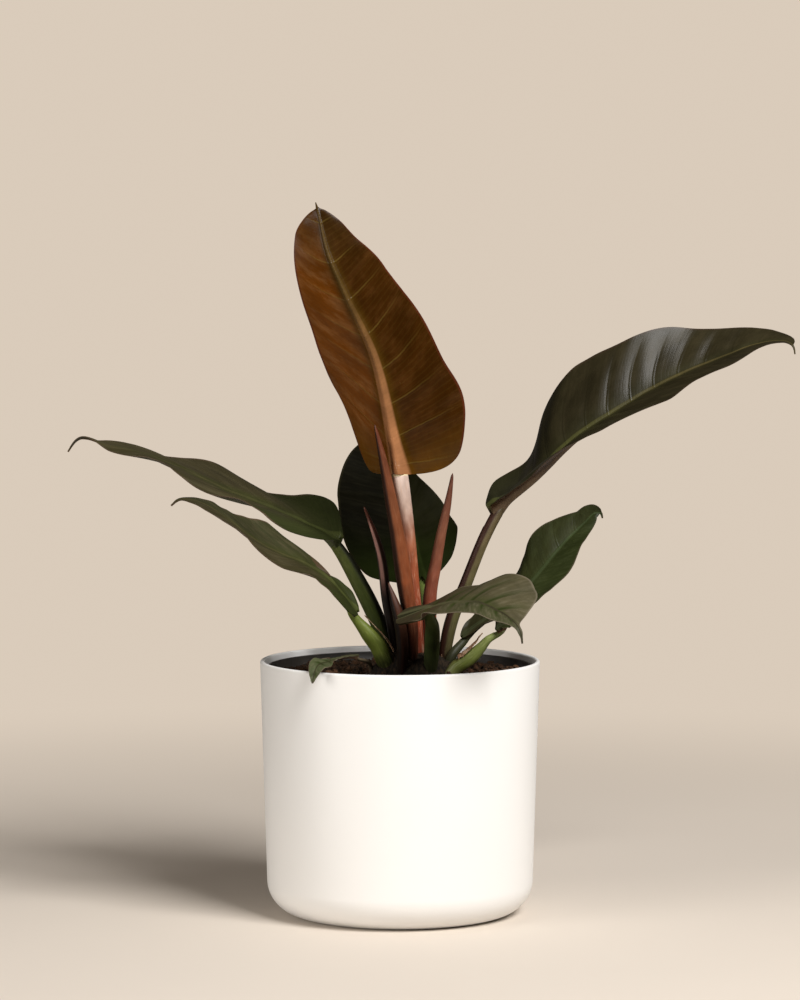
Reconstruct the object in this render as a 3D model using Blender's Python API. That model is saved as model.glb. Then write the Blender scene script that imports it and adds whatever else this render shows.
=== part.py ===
"""Potted philodendron with dark red-brown leaves in a white cover pot, in metres, +Z up.

The origin is the middle of the pot's flat underside, and the front of the plant faces -Y.
Routes and leaf widths are written in millimetres and turned into metres by MM.
"""

import math

import bmesh
import bpy
import numpy as np

MM = 0.001

# Cover pot: a slightly tapered cylinder with a rounded bottom edge and a rounded lip
POT_HEIGHT = 172.7
POT_RIM_RADIUS = 95.0
POT_BASE_RADIUS = 89.9
POT_BOTTOM_ROUNDING = 23.0
POT_WALL = 3.0
POT_FLOOR = 4.0
POT_STEPS = 64

# Nursery pot that stands inside the cover pot
NURSERY_RIM_RADIUS = 90.0
NURSERY_FLOOR_RADIUS = 64.0
NURSERY_RIM_HEIGHT = 169.0
NURSERY_WALL = 1.3
NURSERY_STEPS = 48

# Soil and the short stem that all stalks stand on
SOIL_HEIGHT = 161.5
SOIL_RELIEF = 1.6
SOIL_STEPS = 40
CROWN_CENTRE = (9.0, -3.5)
CROWN_RADII = (32.0, 20.5)
CROWN_TOP = 159.6
CROWN_DEPTH = 22.0

GAP = 0.35

# Blades
BLADE_ROWS = 16
BLADE_COLUMNS = (0.0, 0.10, 0.40, 0.72, 1.0)
BLADE_THICKNESS = 1.1
TIP_HALF_WIDTH = 0.8
LOBE_ROUNDING = 0.10
TIP_ROUNDING = 0.07

SEAT_CLEARANCE = 0.6
LOBE_CLEARANCE = 0.028

STALK_SIDES = 9
STALK_RINGS = 9

# Each leaf: "rib" is the route of its midrib from the joint to the tip, "face" is where its upper
# side looks at even stations along the rib, "left" and "right" are half widths, "fold" angles lift
# each half towards the upper side, "sweep" sets how far the edge runs ahead of the midrib, "lobe" is
# how far the blade reaches back past the joint, "spur" is the share of the length that the narrow
# tip takes, "wave" is the height, number and phase of the waves along its edges, "ridge" is the
# depth of the midrib.
LEAVES = {
    "a": {
        "rib": [(0.8, -22, 300), (-5, -28, 327), (-17, -36, 379), (-38, -41, 425), (-48, -41, 449),
                (-54, -38, 474), (-56, -36, 482)],
        "face": [(0.1, 1, 0.1), (0.1, 1, 0)],
        "left": (24, 46.5, 51, 43, 39, 34, 29, 18, 4),
        "right": (16, 23, 29, 36, 36, 32, 28, 21, 11),
        "fold_left": (4, 7, 13, 9),
        "fold_right": (21, 20, 14, 8),
        "sweep_left": 0.76, "sweep_right": 0.5, "lobe": 2, "spur": 0.022,
        "wave": (0.6, 2.93, 0.23), "ridge": 4.6,
        "colour": (0.155, 0.068, 0.018),
    },
    "b": {
        "rib": [(65.2, 13.5, 279), (90, 22, 296), (121, 32, 323), (149, 38, 341), (171, 43, 354),
                (193, 46, 365), (222, 48, 377), (246, 48, 386), (257, 47, 388), (267, 45, 387.5),
                (270, 43, 385), (271.5, 42, 379)],
        "face": [(-0.5, -0.25, 0.9), (-0.26, -0.76, 0.72), (-0.18, -0.8, 0.7), (-0.1, -0.6, 0.8)],
        "left": (14, 31, 32, 40, 44, 38.5, 36, 24, 15, 10),
        "right": (16, 26, 34, 40, 40, 35, 26, 22, 9, 2),
        "fold_left": (21, -19, 12, 23, 7, -16),
        "fold_right": (17, 40, 42, 34, 32, 20),
        "sweep_left": 0.66, "sweep_right": 0.66, "lobe": 7, "spur": 0.03,
        "wave": (1.3, 4.2, 0.38), "ridge": 4,
        "colour": (0.030, 0.026, 0.014),
    },
    "c": {
        "rib": [(-41.9, 12, 254.6), (-62, 16, 264), (-87, 20, 275), (-118, 22, 287), (-147, 20, 301),
                (-171, 17, 311), (-197, 13, 318), (-218, 10, 323), (-226, 8, 314)],
        "face": [(0.3, -0.4, 0.9), (0.3, -0.35, 0.9), (0.2, -0.2, 0.95), (0.1, -0.1, 1)],
        "left": (18, 30, 33, 30, 26, 26.5, 28, 17, 7, 1),
        "right": (13, 28, 33, 32, 35, 31, 22, 17, 9, 1),
        "fold_left": (0, 15, 12, 7, 5, 20),
        "fold_right": (37, 1, -6, 0, -9, -2),
        "sweep_left": 0.5, "sweep_right": 0.5, "lobe": 3, "spur": 0.015,
        "wave": (3.4, 3.1, 0.79), "ridge": 3,
        "colour": (0.052, 0.050, 0.024),
    },
    "d": {
        "rib": [(-29.5, -21, 208.5), (-49, -30, 232), (-63, -34, 241), (-81, -40, 249), (-95, -45, 257),
                (-114, -51, 272), (-133, -55, 284), (-146, -58, 286), (-152, -59, 282)],
        "face": [(0.9, -0.6, 0.3), (0.5, -0.45, 0.8), (0.3, -0.4, 0.9), (0.2, -0.2, 1)],
        "left": (13, 22, 26, 26, 28, 24, 19, 13, 7, 1),
        "right": (8, 10, 11, 11, 8, 4, 1, 9, 22, 29, 28, 25, 21, 17, 13, 10, 7, 4, 1),
        "fold_left": (18, 24, 13, 16, 10, -2),
        "fold_right": (11, -28, -8, 1, -12, 4),
        "sweep_left": 0.5, "sweep_right": 0.5, "lobe": 3, "spur": 0.015,
        "wave": (1.75, 3.1, 0.75), "ridge": 2.6,
        "colour": (0.050, 0.056, 0.026),
    },
    "e": {
        "rib": [(15, 30, 227), (8, 62, 256), (1, 98, 289), (-6, 128, 315), (-11, 150, 337)],
        "face": [(0, -1, 0.7), (0, -1, 0.8), (0, -1, 0.9), (0, -0.8, 1)],
        "left": (22, 37, 44, 48, 47.5, 46, 39, 25, 11, 1),
        "right": (10, 25, 31, 29, 24, 13, 8, 7, 5, 1),
        "fold_left": (-11, -5, 3, 10, 14, 6),
        "fold_right": (10, 14, 1, 4, 3, 5),
        "sweep_left": 0.72, "sweep_right": 0.72, "lobe": 6, "spur": 0.02,
        "wave": (2.4, 2.94, 0.7), "ridge": 3.4,
        "colour": (0.018, 0.020, 0.010),
    },
    "f": {
        "rib": [(43, 1, 189), (59, 5, 201), (76, 10, 212), (91, 16, 226), (105, 22, 242), (114, 26, 252),
                (127, 30, 264), (134, 31, 270.5), (137.5, 31, 270.5), (138.5, 30, 267)],
        "face": [(-0.5, -0.7, 0.6), (-0.5, -0.75, 0.5), (-0.4, -0.8, 0.5)],
        "left": (4, 9, 16, 20, 19, 20, 21, 17, 9, 4),
        "right": (4, 7, 13, 19, 22, 21, 17, 12, 6, 2),
        "fold_left": (7, -7, -16, 4, 31, 35),
        "fold_right": (23, 20, 14, 6, -3, -2),
        "sweep_left": 0.66, "sweep_right": 0.66, "lobe": 2, "spur": 0.03,
        "wave": (1.8, 3.24, 0.78), "ridge": 2.4,
        "colour": (0.022, 0.036, 0.012),
    },
    "g": {
        "rib": [(18.8, -58, 213.6), (30.4, -66, 217.6), (40.2, -76, 219.2), (51.2, -88, 220),
                (63.9, -103, 215.9), (72.1, -113, 211.5), (77.1, -120, 206), (79.6, -122, 196.5)],
        "face": [(0, -0.5, 0.9), (0.1, -0.6, 0.8), (0.25, -0.75, 0.65), (0.4, -0.9, 0.35)],
        "left": (5, 9, 11, 15, 20, 22, 25, 29, 31, 30, 31, 33, 34, 32, 28, 13, 2.5, 1.5, 1),
        "right": (11, 17, 25, 28, 27, 23, 18, 12, 3, 1),
        "fold_left": (22, -14, 0, 10, 4, -20),
        "fold_right": (-8, 15, 9, 13, 3, 3),
        "sweep_left": 0.46, "sweep_right": 0.46, "lobe": 26, "spur": 0.04,
        "wave": (1.86, 2.97, 0.05), "ridge": 2,
        "colour": (0.110, 0.098, 0.050),
    },
    "h": {
        "rib": [(-28, -24, 178.4), (-38.3, -45, 179.4), (-47.7, -68, 178.8), (-54.8, -84, 177),
                (-57.5, -92, 167.5)],
        "face": [(0.2, -0.2, 1), (0.2, -0.3, 1), (-0.1, -0.8, 0.6), (-0.2, -1, 0.1)],
        "left": (0.8, 0.8, 0.8, 0.9, 1.1, 1.7, 5, 6.8, 4, 0.5),
        "right": (0.8, 0.8, 0.8, 0.9, 1.1, 1.7, 4.5, 6, 4, 0.5),
        "fold_left": (20, 20, 15, 10, 10, 10),
        "fold_right": (20, 20, 15, 10, 10, 10),
        "sweep_left": 0.7, "sweep_right": 0.7, "lobe": 0.5, "spur": 0,
        "wave": (0.3, 2, 0.1), "ridge": 0.6,
        "colour": (0.110, 0.120, 0.055),
    },
    "i": {
        "rib": [(66, -17, 196), (71, -18, 199.5), (76, -19, 202.5), (80, -19.5, 204), (83, -19, 207)],
        "face": [(-0.6, -0.5, 0.7), (-0.4, -0.5, 0.7), (-0.2, -0.5, 0.8), (0, -0.4, 0.9)],
        "left": (3, 5, 6, 7, 7, 7, 6, 4, 2, 0.5),
        "right": (3, 5, 6, 7, 7, 7, 6, 4, 2, 0.5),
        "fold_left": (30, 20, 10, 8, 5, 5),
        "fold_right": (30, 20, 10, 8, 5, 5),
        "sweep_left": 0.7, "sweep_right": 0.7, "lobe": 2, "spur": 0,
        "wave": (0.8, 3, 0.3), "ridge": 1.6,
        "colour": (0.030, 0.036, 0.016),
    },
}

# Each stalk: its route from the crown, which ends against the foot of its leaf's midrib, and its
# radius at even stations along that route.
STALKS = {
    "a": {
        "route": [(13.5, -3, 160), (10.6, -7, 197), (7.4, -13.5, 232), (5.4, -17.8, 255)],
        "radius": (4.2, 4.9, 5.2, 5.2, 5.3), "colour": (0.420, 0.150, 0.090),
    },
    "b": {
        "route": [(29, 8, 160), (30.5, 6, 178), (34.3, 6, 197), (44.9, 8, 224.6), (57.8, 10.5, 256)],
        "radius": (4.0, 4.8, 4.5, 4.2, 4.1), "colour": (0.120, 0.090, 0.045),
    },
    "c": {
        "route": [(-4, 7, 160), (-8.2, 7, 181), (-16.2, 8, 201.5), (-26.9, 9, 223)],
        "radius": (4.6, 5.8, 6.2, 5.5, 4.1), "colour": (0.060, 0.070, 0.022),
    },
    "d": {
        "route": [(-5, -8, 160), (-10.5, -10, 176), (-14, -11, 183), (-22, -14, 193)],
        "radius": (5.0, 6.8, 6.6, 5.6, 3.6, 2.6), "colour": (0.150, 0.190, 0.045),
    },
    "e": {
        "route": [(14, 11, 160), (17, 14, 190), (17.6, 22, 212)],
        "radius": (4.0, 3.8, 3.6, 3.0), "colour": (0.110, 0.150, 0.035),
    },
    "f": {
        "route": [(30, -2, 160), (34.5, -2, 175)],
        "radius": (3.2, 3.6, 3.2, 2.4), "colour": (0.045, 0.055, 0.022),
    },
    "g": {
        "route": [(20, -13, 160), (21.5, -24, 184), (21.5, -42, 200)],
        "radius": (4.2, 5.2, 4.8, 2.6), "colour": (0.050, 0.065, 0.020),
    },
    "h": {
        "route": [(-18.5, -1.5, 160), (-20.5, -5.5, 170)],
        "radius": (1.5, 1.4, 1.2, 0.9), "colour": (0.130, 0.090, 0.045),
    },
    "i": {
        "route": [(31, -12, 160), (37.2, -12, 168.6), (45.8, -13, 174.5), (53.9, -14, 182), (59.3, -15, 188)],
        "radius": (4.2, 5.3, 5.4, 4.8, 3.4, 2.4, 2.1), "colour": (0.200, 0.240, 0.070),
    },
}

# Rolled young leaves and leaf sheaths that stand as spears, from the crown to their points
SPEARS = {
    "tall": {
        "route": [(6.5, -9.5, 160), (8, -15.5, 185), (7.2, -18.5, 201), (4.8, -21, 217), (2.4, -23.5, 233),
                  (-0.9, -26.3, 255), (-4.8, -30, 277), (-11, -34, 309), (-17, -37, 334.5)],
        "radius": (3.8, 4.4, 5.1, 5.6, 4.8, 4.1, 2.8, 0.7), "colour": (0.330, 0.115, 0.070),
    },
    "right": {
        "route": [(22.2, 1.8, 160), (20, 1, 195), (20.8, 1, 219), (24, 2, 236), (27.8, 2.5, 257),
                  (32.4, 3, 278.5), (35.7, 4, 299.4)],
        "radius": (4.2, 5.0, 4.8, 4.2, 3.5, 2.6, 0.8), "colour": (0.340, 0.130, 0.085),
    },
    "dark": {
        "route": [(1, -1, 160), (-4, -2, 187), (-9, -3, 214), (-13, -5, 245), (-24.2, -9, 277.4)],
        "radius": (3.0, 3.4, 3.4, 2.8, 0.7), "colour": (0.055, 0.028, 0.016),
    },
    "short": {
        "route": [(1, -16.5, 160), (1.6, -23.2, 188), (-0.8, -25.6, 204), (-4.6, -25.4, 217),
                  (-8, -24, 227.4)],
        "radius": (3.0, 3.8, 4.0, 3.4, 0.7), "colour": (0.110, 0.050, 0.030),
    },
}

# Dried remains of the sheaths round young stalks: which stalk, the share of its length they cover,
# the middle and half width of the part of its round they cover in degrees (0 is the left or upper
# side, 90 the back), and how far the free end stands away from the stalk.
SHEATHS = {
    "i": {"stalk": "i", "from": 0.30, "to": 0.74, "middle": -12, "half": 42, "peel": 2.2},
    "d": {"stalk": "d", "from": 0.30, "to": 0.80, "middle": 176, "half": 34, "peel": 1.6},
    "b": {"stalk": "b", "from": 0.03, "to": 0.13, "middle": -72, "half": 12, "peel": 0.4},
}
SHEATH_THICKNESS = 0.6


def clear_scene():
    for obj in list(bpy.data.objects):
        bpy.data.objects.remove(obj, do_unlink=True)


def material(name, colour, roughness):
    made = bpy.data.materials.new(name)
    made.use_nodes = True
    shader = made.node_tree.nodes["Principled BSDF"]
    shader.inputs["Base Color"].default_value = (*colour, 1.0)
    shader.inputs["Roughness"].default_value = roughness
    shader.inputs["Metallic"].default_value = 0.0
    return made


def add_object(name, points_mm, faces, colour, roughness):
    """A named object from points in millimetres, triangulated, with its faces pointing out."""
    mesh = bpy.data.meshes.new(name)
    mesh.from_pydata([tuple(p) for p in np.asarray(points_mm, float) * MM], [], faces)
    shape = bmesh.new()
    shape.from_mesh(mesh)
    bmesh.ops.triangulate(shape, faces=[f for f in shape.faces if len(f.verts) > 4])
    bmesh.ops.recalc_face_normals(shape, faces=shape.faces[:])
    shape.to_mesh(mesh)
    shape.free()
    mesh.shade_smooth()
    mesh.set_sharp_from_angle(angle=math.radians(40))
    mesh.materials.append(material(name, colour, roughness))
    made = bpy.data.objects.new(name, mesh)
    bpy.context.collection.objects.link(made)
    return made


def unit(vectors):
    return vectors / np.linalg.norm(vectors, axis=-1, keepdims=True)


def smooth_route(points, count):
    """Evenly spaced points on a smooth curve through the given ones, and the curve's length."""
    given = np.asarray(points, float)
    spacing = np.linalg.norm(np.diff(given, axis=0), axis=1)[:, None] ** 0.75
    slope = np.diff(given, axis=0) / spacing
    tangent = np.empty_like(given)
    between = slope[1:] * spacing[:-1] + slope[:-1] * spacing[1:]
    tangent[1:-1] = between / (spacing[1:] + spacing[:-1])
    tangent[0] = 1.5 * slope[0] - 0.5 * tangent[1]
    tangent[-1] = 1.5 * slope[-1] - 0.5 * tangent[-2]
    s = np.linspace(0, 1, 41)[:, None]
    pieces = [given[:1]]
    for i, step in enumerate(spacing):
        piece = (2 * s**3 - 3 * s**2 + 1) * given[i] + (s**3 - 2 * s**2 + s) * step * tangent[i]
        piece += (3 * s**2 - 2 * s**3) * given[i + 1] + (s**3 - s**2) * step * tangent[i + 1]
        pieces.append(piece[1:])
    fine = np.concatenate(pieces)
    travelled = np.concatenate([[0], np.cumsum(np.linalg.norm(np.diff(fine, axis=0), axis=1))])
    even = np.linspace(0, travelled[-1], count)
    return np.stack([np.interp(even, travelled, fine[:, k]) for k in range(3)], 1), travelled[-1]


def eased(stations, at):
    """Values given at even stations from 0 to 1, read off a smooth curve."""
    values = np.asarray(stations, float)
    x = np.clip(np.asarray(at, float), 0, 1) * (len(values) - 1)
    i = np.clip(x.astype(int), 0, len(values) - 2)
    s = x - i
    slope = np.gradient(values)
    start = (2 * s**3 - 3 * s**2 + 1) * values[i] + (s**3 - 2 * s**2 + s) * slope[i]
    return start + (3 * s**2 - 2 * s**3) * values[i + 1] + (s**3 - s**2) * slope[i + 1]


def rib_frame(leaf, share):
    """Point, tangent, up and left at a share of the midrib; straight back before the joint."""
    route, length = smooth_route(leaf["rib"], 201)
    along = np.linspace(0, 1, 201)
    tangents = unit(np.gradient(route, axis=0))
    inside = np.clip(share, 0, 1)
    point = np.stack([np.interp(inside, along, route[:, k]) for k in range(3)], -1)
    tangent = unit(np.stack([np.interp(inside, along, tangents[:, k]) for k in range(3)], -1))
    face = unit(np.stack([eased([f[k] for f in leaf["face"]], inside) for k in range(3)], -1))
    point = point + np.minimum(share, 0)[..., None] * length * tangent
    up = unit(face - (face * tangent).sum(-1, keepdims=True) * tangent)
    return point, tangent, up, np.cross(up, tangent), length


def blade_surface(leaf, rows, columns):
    """Upper surface and the rib's up vectors: rows from joint to tip, columns from right to left."""
    share = np.linspace(0, 1, rows + 1) ** 1.25
    middle = len(columns) - 1
    grid = np.zeros((rows + 1, 2 * middle + 1, 3))
    height, count, phase = leaf["wave"]
    length = rib_frame(leaf, share)[-1]
    lobe = leaf["lobe"] / length
    for side, sign in (("right", -1), ("left", 1)):
        station = 0.02 + 0.98 * share ** leaf["sweep_" + side]
        edge = (1 + lobe) * station - lobe
        rounding = np.sqrt(1 - np.clip(1 - station / LOBE_ROUNDING, 0, 1) ** 2)
        to_tip = (1 - leaf["spur"] - station) / TIP_ROUNDING
        rounding = rounding * np.sqrt(1 - np.clip(1 - to_tip, 0, 1) ** 2)
        width = eased(leaf[side], station) * rounding + TIP_HALF_WIDTH * station
        fold = np.radians(eased(leaf["fold_" + side], station))
        turn = 2 * math.pi * (count * station + phase + (0.37 if sign > 0 else 0))
        fade = np.clip(width / (0.35 * max(leaf[side])), 0, 1)
        for j, v in enumerate(columns):
            point, _, up, left, _ = rib_frame(leaf, share + (edge - share) * v**1.3)
            lift = width * v * np.sin(fold) + height * v**2 * np.sin(turn) * fade
            sideways = sign * width * v * np.cos(fold)
            grid[:, middle + sign * j] = point + left * sideways[:, None] + up * lift[:, None]
    return grid, rib_frame(leaf, share)[2]


def grid_normals(grid):
    along = np.gradient(grid, axis=0)
    across = np.gradient(grid, axis=1)
    return unit(np.cross(along, across))


def blade(name, leaf):
    """Closed blade: the upper surface, the same surface one thickness below, and the edge."""
    upper, rib_up = blade_surface(leaf, BLADE_ROWS, BLADE_COLUMNS)
    rows, columns = upper.shape[:2]
    middle = columns // 2
    outward = grid_normals(upper)
    outward[:, middle] = rib_up
    thickness = np.full((rows, columns), BLADE_THICKNESS)
    thickness[:, middle] += leaf["ridge"] * np.linspace(1, 0.1, rows)
    lower = upper - outward * thickness[..., None]
    points = np.concatenate([upper.reshape(-1, 3), lower.reshape(-1, 3)])
    below = rows * columns
    faces = []
    for i in range(rows - 1):
        for j in range(columns - 1):
            a, b = i * columns + j, i * columns + j + 1
            c, d = b + columns, a + columns
            halves = ((a, b, c), (a, c, d)) if j < middle else ((a, b, d), (b, c, d))
            for half in halves:
                faces.append(half)
                faces.append(tuple(below + k for k in reversed(half)))
    border = [(0, j) for j in range(columns)] + [(i, columns - 1) for i in range(1, rows)]
    border += [(rows - 1, j) for j in range(columns - 2, -1, -1)] + [(i, 0) for i in range(rows - 2, 0, -1)]
    ring = [i * columns + j for i, j in border]
    for a, b in zip(ring, ring[1:] + ring[:1]):
        faces.append((b, a, below + a))
        faces.append((b, below + a, below + b))
    return add_object(name, points, faces, leaf["colour"], 0.4)


def stalk_route(spec, leaf, count):
    """Evenly spaced points up a stalk. Under a leaf it ends against the foot of the midrib."""
    route = list(spec["route"])
    if leaf:
        joint, along, up, _, _ = rib_frame(leaf, np.zeros(1))
        under = BLADE_THICKNESS + SEAT_CLEARANCE + spec["radius"][-1]
        behind = GAP + LOBE_CLEARANCE * leaf["lobe"]
        route.append(tuple(joint[0] - up[0] * under - along[0] * behind))
    return smooth_route(route, count)[0]


def stalk(name, spec, leaf=None):
    """A tapered round stalk. Its foot is level on the crown and its top is square to the midrib."""
    route = stalk_route(spec, leaf, STALK_RINGS)
    tangents = unit(np.gradient(route, axis=0))
    tangents[0] = (0.0, 0.0, 1.0)
    if leaf:
        tangents[-1] = rib_frame(leaf, np.zeros(1))[1][0]
    radii = eased(spec["radius"], np.linspace(0, 1, STALK_RINGS))
    points = []
    for centre, tangent, radius in zip(route, tangents, radii):
        side = unit(np.cross(tangent, (0.0, 1.0, 0.0)))
        other = np.cross(side, tangent)
        for k in range(STALK_SIDES):
            angle = 2 * math.pi * k / STALK_SIDES
            points.append(centre + radius * (math.cos(angle) * side + math.sin(angle) * other))
    faces = [tuple(range(STALK_SIDES - 1, -1, -1))]
    for i in range(STALK_RINGS - 1):
        for k in range(STALK_SIDES):
            a, b = i * STALK_SIDES + k, i * STALK_SIDES + (k + 1) % STALK_SIDES
            faces.append((a, b, b + STALK_SIDES, a + STALK_SIDES))
    faces.append(tuple(range((STALK_RINGS - 1) * STALK_SIDES, STALK_RINGS * STALK_SIDES)))
    return add_object(name, points, faces, spec["colour"], 0.45)


def sheath(name, spec, rings=9, columns=5):
    """A thin dry scale against one side of a stalk, pointed and peeling away at its upper end."""
    host = STALKS[spec["stalk"]]
    route = stalk_route(host, LEAVES[spec["stalk"]], 101)
    tangents = unit(np.gradient(route, axis=0))
    along = np.linspace(0, 1, 101)
    share = np.linspace(spec["from"], spec["to"], rings)
    layers = []
    for extra in (GAP, GAP + SHEATH_THICKNESS):
        for i, at in enumerate(share):
            climb = i / (rings - 1)
            centre = np.array([np.interp(at, along, route[:, k]) for k in range(3)])
            tangent = unit(np.array([np.interp(at, along, tangents[:, k]) for k in range(3)]))
            side = unit(np.cross(tangent, (0.0, 1.0, 0.0)))
            other = np.cross(side, tangent)
            radius = eased(host["radius"], at) / math.cos(math.pi / STALK_SIDES) + extra
            radius += spec["peel"] * climb**3
            half = spec["half"] * (1 - 0.85 * climb**2)
            for k in range(columns):
                angle = math.radians(spec["middle"] + half * (2 * k / (columns - 1) - 1))
                layers.append(centre + radius * (math.cos(angle) * side + math.sin(angle) * other))
    inner, outer = 0, rings * columns
    faces = []
    for i in range(rings - 1):
        for k in range(columns - 1):
            a, b = i * columns + k, i * columns + k + 1
            c, d = b + columns, a + columns
            faces += [(outer + a, outer + b, outer + c), (outer + a, outer + c, outer + d)]
            faces += [(inner + c, inner + b, inner + a), (inner + d, inner + c, inner + a)]
    ring = [k for k in range(columns)]
    ring += [i * columns + columns - 1 for i in range(1, rings)]
    ring += [(rings - 1) * columns + k for k in range(columns - 2, -1, -1)]
    ring += [i * columns for i in range(rings - 2, 0, -1)]
    for a, b in zip(ring, ring[1:] + ring[:1]):
        faces.append((inner + a, inner + b, outer + b, outer + a))
    return add_object(name, layers, faces, (0.240, 0.130, 0.065), 0.9)


def turned(name, profile, steps, colour, roughness):
    """A closed turned body. The profile runs from the axis below to the axis above, outside first."""
    points = [(0, 0, profile[0][1])]
    for radius, height in profile[1:-1]:
        for k in range(steps):
            angle = 2 * math.pi * k / steps
            points.append((radius * math.cos(angle), radius * math.sin(angle), height))
    points.append((0, 0, profile[-1][1]))
    faces = []
    last = len(points) - 1
    rings = len(profile) - 2
    for k in range(steps):
        following = (k + 1) % steps
        faces.append((0, 1 + following, 1 + k))
        top = 1 + (rings - 1) * steps
        faces.append((last, top + k, top + following))
        for i in range(rings - 1):
            a, b = 1 + i * steps + k, 1 + i * steps + following
            faces.append((a, b, b + steps, a + steps))
    return add_object(name, points, faces, colour, roughness)


def arc(centre, radius, start, end, count):
    """Points (radius, height) on an arc, with angles in degrees from level outwards."""
    angles = [math.radians(start + (end - start) * k / (count - 1)) for k in range(count)]
    return [(centre[0] + radius * math.cos(a), centre[1] + radius * math.sin(a)) for a in angles]


def wall_radius(height):
    """Outer radius of the cover pot's straight wall at a height."""
    return POT_BASE_RADIUS + (POT_RIM_RADIUS - POT_BASE_RADIUS) * height / POT_HEIGHT


def make_pot():
    taper = math.degrees(math.atan((POT_RIM_RADIUS - POT_BASE_RADIUS) / POT_HEIGHT))
    reach = wall_radius(POT_BOTTOM_ROUNDING) - POT_BOTTOM_ROUNDING / math.cos(math.radians(taper))
    lip = POT_WALL / 2
    inner_rounding = POT_BOTTOM_ROUNDING - POT_WALL
    outside = arc((reach, POT_BOTTOM_ROUNDING), POT_BOTTOM_ROUNDING, -90, -taper, 8)
    rim = arc((POT_RIM_RADIUS - lip, POT_HEIGHT - lip), lip, 0, 180, 5)
    floor = arc((reach, POT_FLOOR + inner_rounding), inner_rounding, -taper, -90, 5)
    make = [(0, 0)] + outside + rim + floor + [(0, POT_FLOOR)]
    return turned("cover_pot", make, POT_STEPS, (0.86, 0.84, 0.80), 0.45)


def make_nursery_pot():
    base = POT_FLOOR + GAP
    top = NURSERY_RIM_HEIGHT
    profile = [
        (0, base),
        (NURSERY_FLOOR_RADIUS, base),
        (NURSERY_RIM_RADIUS - 1.6, top - 12),
        (NURSERY_RIM_RADIUS, top - 11),
        (NURSERY_RIM_RADIUS, top - 0.6),
        (NURSERY_RIM_RADIUS - 0.6, top),
        (NURSERY_RIM_RADIUS - NURSERY_WALL, top),
        (NURSERY_RIM_RADIUS - 1.6 - NURSERY_WALL, top - 12),
        (NURSERY_FLOOR_RADIUS - NURSERY_WALL, base + NURSERY_WALL),
        (0, base + NURSERY_WALL),
    ]
    return turned("nursery_pot", profile, NURSERY_STEPS, (0.014, 0.014, 0.015), 0.5)


def make_soil():
    """Root ball and soil: it fills the nursery pot, with a crumbly top and a plain well for the crown."""
    base = POT_FLOOR + GAP + NURSERY_WALL + GAP
    top_radius = NURSERY_RIM_RADIUS - 1.6 - NURSERY_WALL - GAP - 0.8
    bottom_radius = NURSERY_FLOOR_RADIUS - NURSERY_WALL - GAP
    well = CROWN_TOP - CROWN_DEPTH - GAP
    rng = np.random.default_rng(7)
    steps = SOIL_STEPS
    angles = 2 * math.pi * np.arange(steps) / steps
    ring = np.stack([np.cos(angles), np.sin(angles)], 1)
    centre = np.array(CROWN_CENTRE)
    hole = centre + ring * (np.array(CROWN_RADII) + GAP)
    levels = [(np.zeros((1, 2)), base), (ring * bottom_radius, base), (ring * top_radius, SOIL_HEIGHT)]
    for share in (0.93, 0.82, 0.68, 0.53, 0.38, 0.24, 0.12, 0.04):
        levels.append((hole + (ring * top_radius - hole) * share, SOIL_HEIGHT))
    levels += [(hole, SOIL_HEIGHT), (hole, well), (centre[None], well)]
    points = []
    for number, (flat, height) in enumerate(levels):
        relief = rng.normal(0, SOIL_RELIEF, len(flat)) if 2 < number < len(levels) - 3 else 0
        points.append(np.column_stack([flat, np.full(len(flat), height) + relief]))
    points = np.concatenate(points)
    faces = []
    rings = len(levels) - 2
    last = len(points) - 1
    for k in range(steps):
        following = (k + 1) % steps
        faces.append((0, 1 + following, 1 + k))
        inner = 1 + (rings - 1) * steps
        faces.append((last, inner + k, inner + following))
        for i in range(rings - 1):
            a, b = 1 + i * steps + k, 1 + i * steps + following
            faces.append((a, b, b + steps))
            faces.append((a, b + steps, a + steps))
    return add_object("soil", points, faces, (0.045, 0.026, 0.014), 0.95)


def make_crown():
    """Short stem that the stalks stand on: an oval stump with a level top, sunk in the soil."""
    steps = 28
    angles = 2 * math.pi * np.arange(steps) / steps
    ring = np.stack([np.cos(angles), np.sin(angles)], 1)
    rings = ((0.62, -CROWN_DEPTH), (0.92, -CROWN_DEPTH * 0.6), (1.0, -3.0), (0.98, 0.0))
    points = [np.append(CROWN_CENTRE, CROWN_TOP - CROWN_DEPTH)[None]]
    for share, height in rings:
        flat = np.array(CROWN_CENTRE) + ring * np.array(CROWN_RADII) * share
        points.append(np.column_stack([flat, np.full(steps, CROWN_TOP + height)]))
    points.append(np.append(CROWN_CENTRE, CROWN_TOP)[None])
    points = np.concatenate(points)
    last = len(points) - 1
    faces = []
    for k in range(steps):
        following = (k + 1) % steps
        faces.append((0, 1 + following, 1 + k))
        top = 1 + (len(rings) - 1) * steps
        faces.append((last, top + k, top + following))
        for i in range(len(rings) - 1):
            a, b = 1 + i * steps + k, 1 + i * steps + following
            faces.append((a, b, b + steps, a + steps))
    return add_object("crown", points, faces, (0.040, 0.032, 0.016), 0.8)


def main():
    clear_scene()
    make_pot()
    make_nursery_pot()
    make_soil()
    make_crown()
    for key, leaf in LEAVES.items():
        blade("leaf_" + key, leaf)
    for key, spec in STALKS.items():
        stalk("stalk_" + key, spec, LEAVES[key])
    for key, spec in SPEARS.items():
        stalk("spear_" + key, spec)
    for key, spec in SHEATHS.items():
        sheath("sheath_" + key, spec)


main()
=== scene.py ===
# Potted philodendron: long waved leaves on thick stalks, in a white cover pot
# Routes and widths are in millimetres, as in the part's own source; mm turns them into metres
import math
import bmesh
import bpy
import numpy as np
from mathutils import Matrix, Vector, noise as mathNoise


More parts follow.
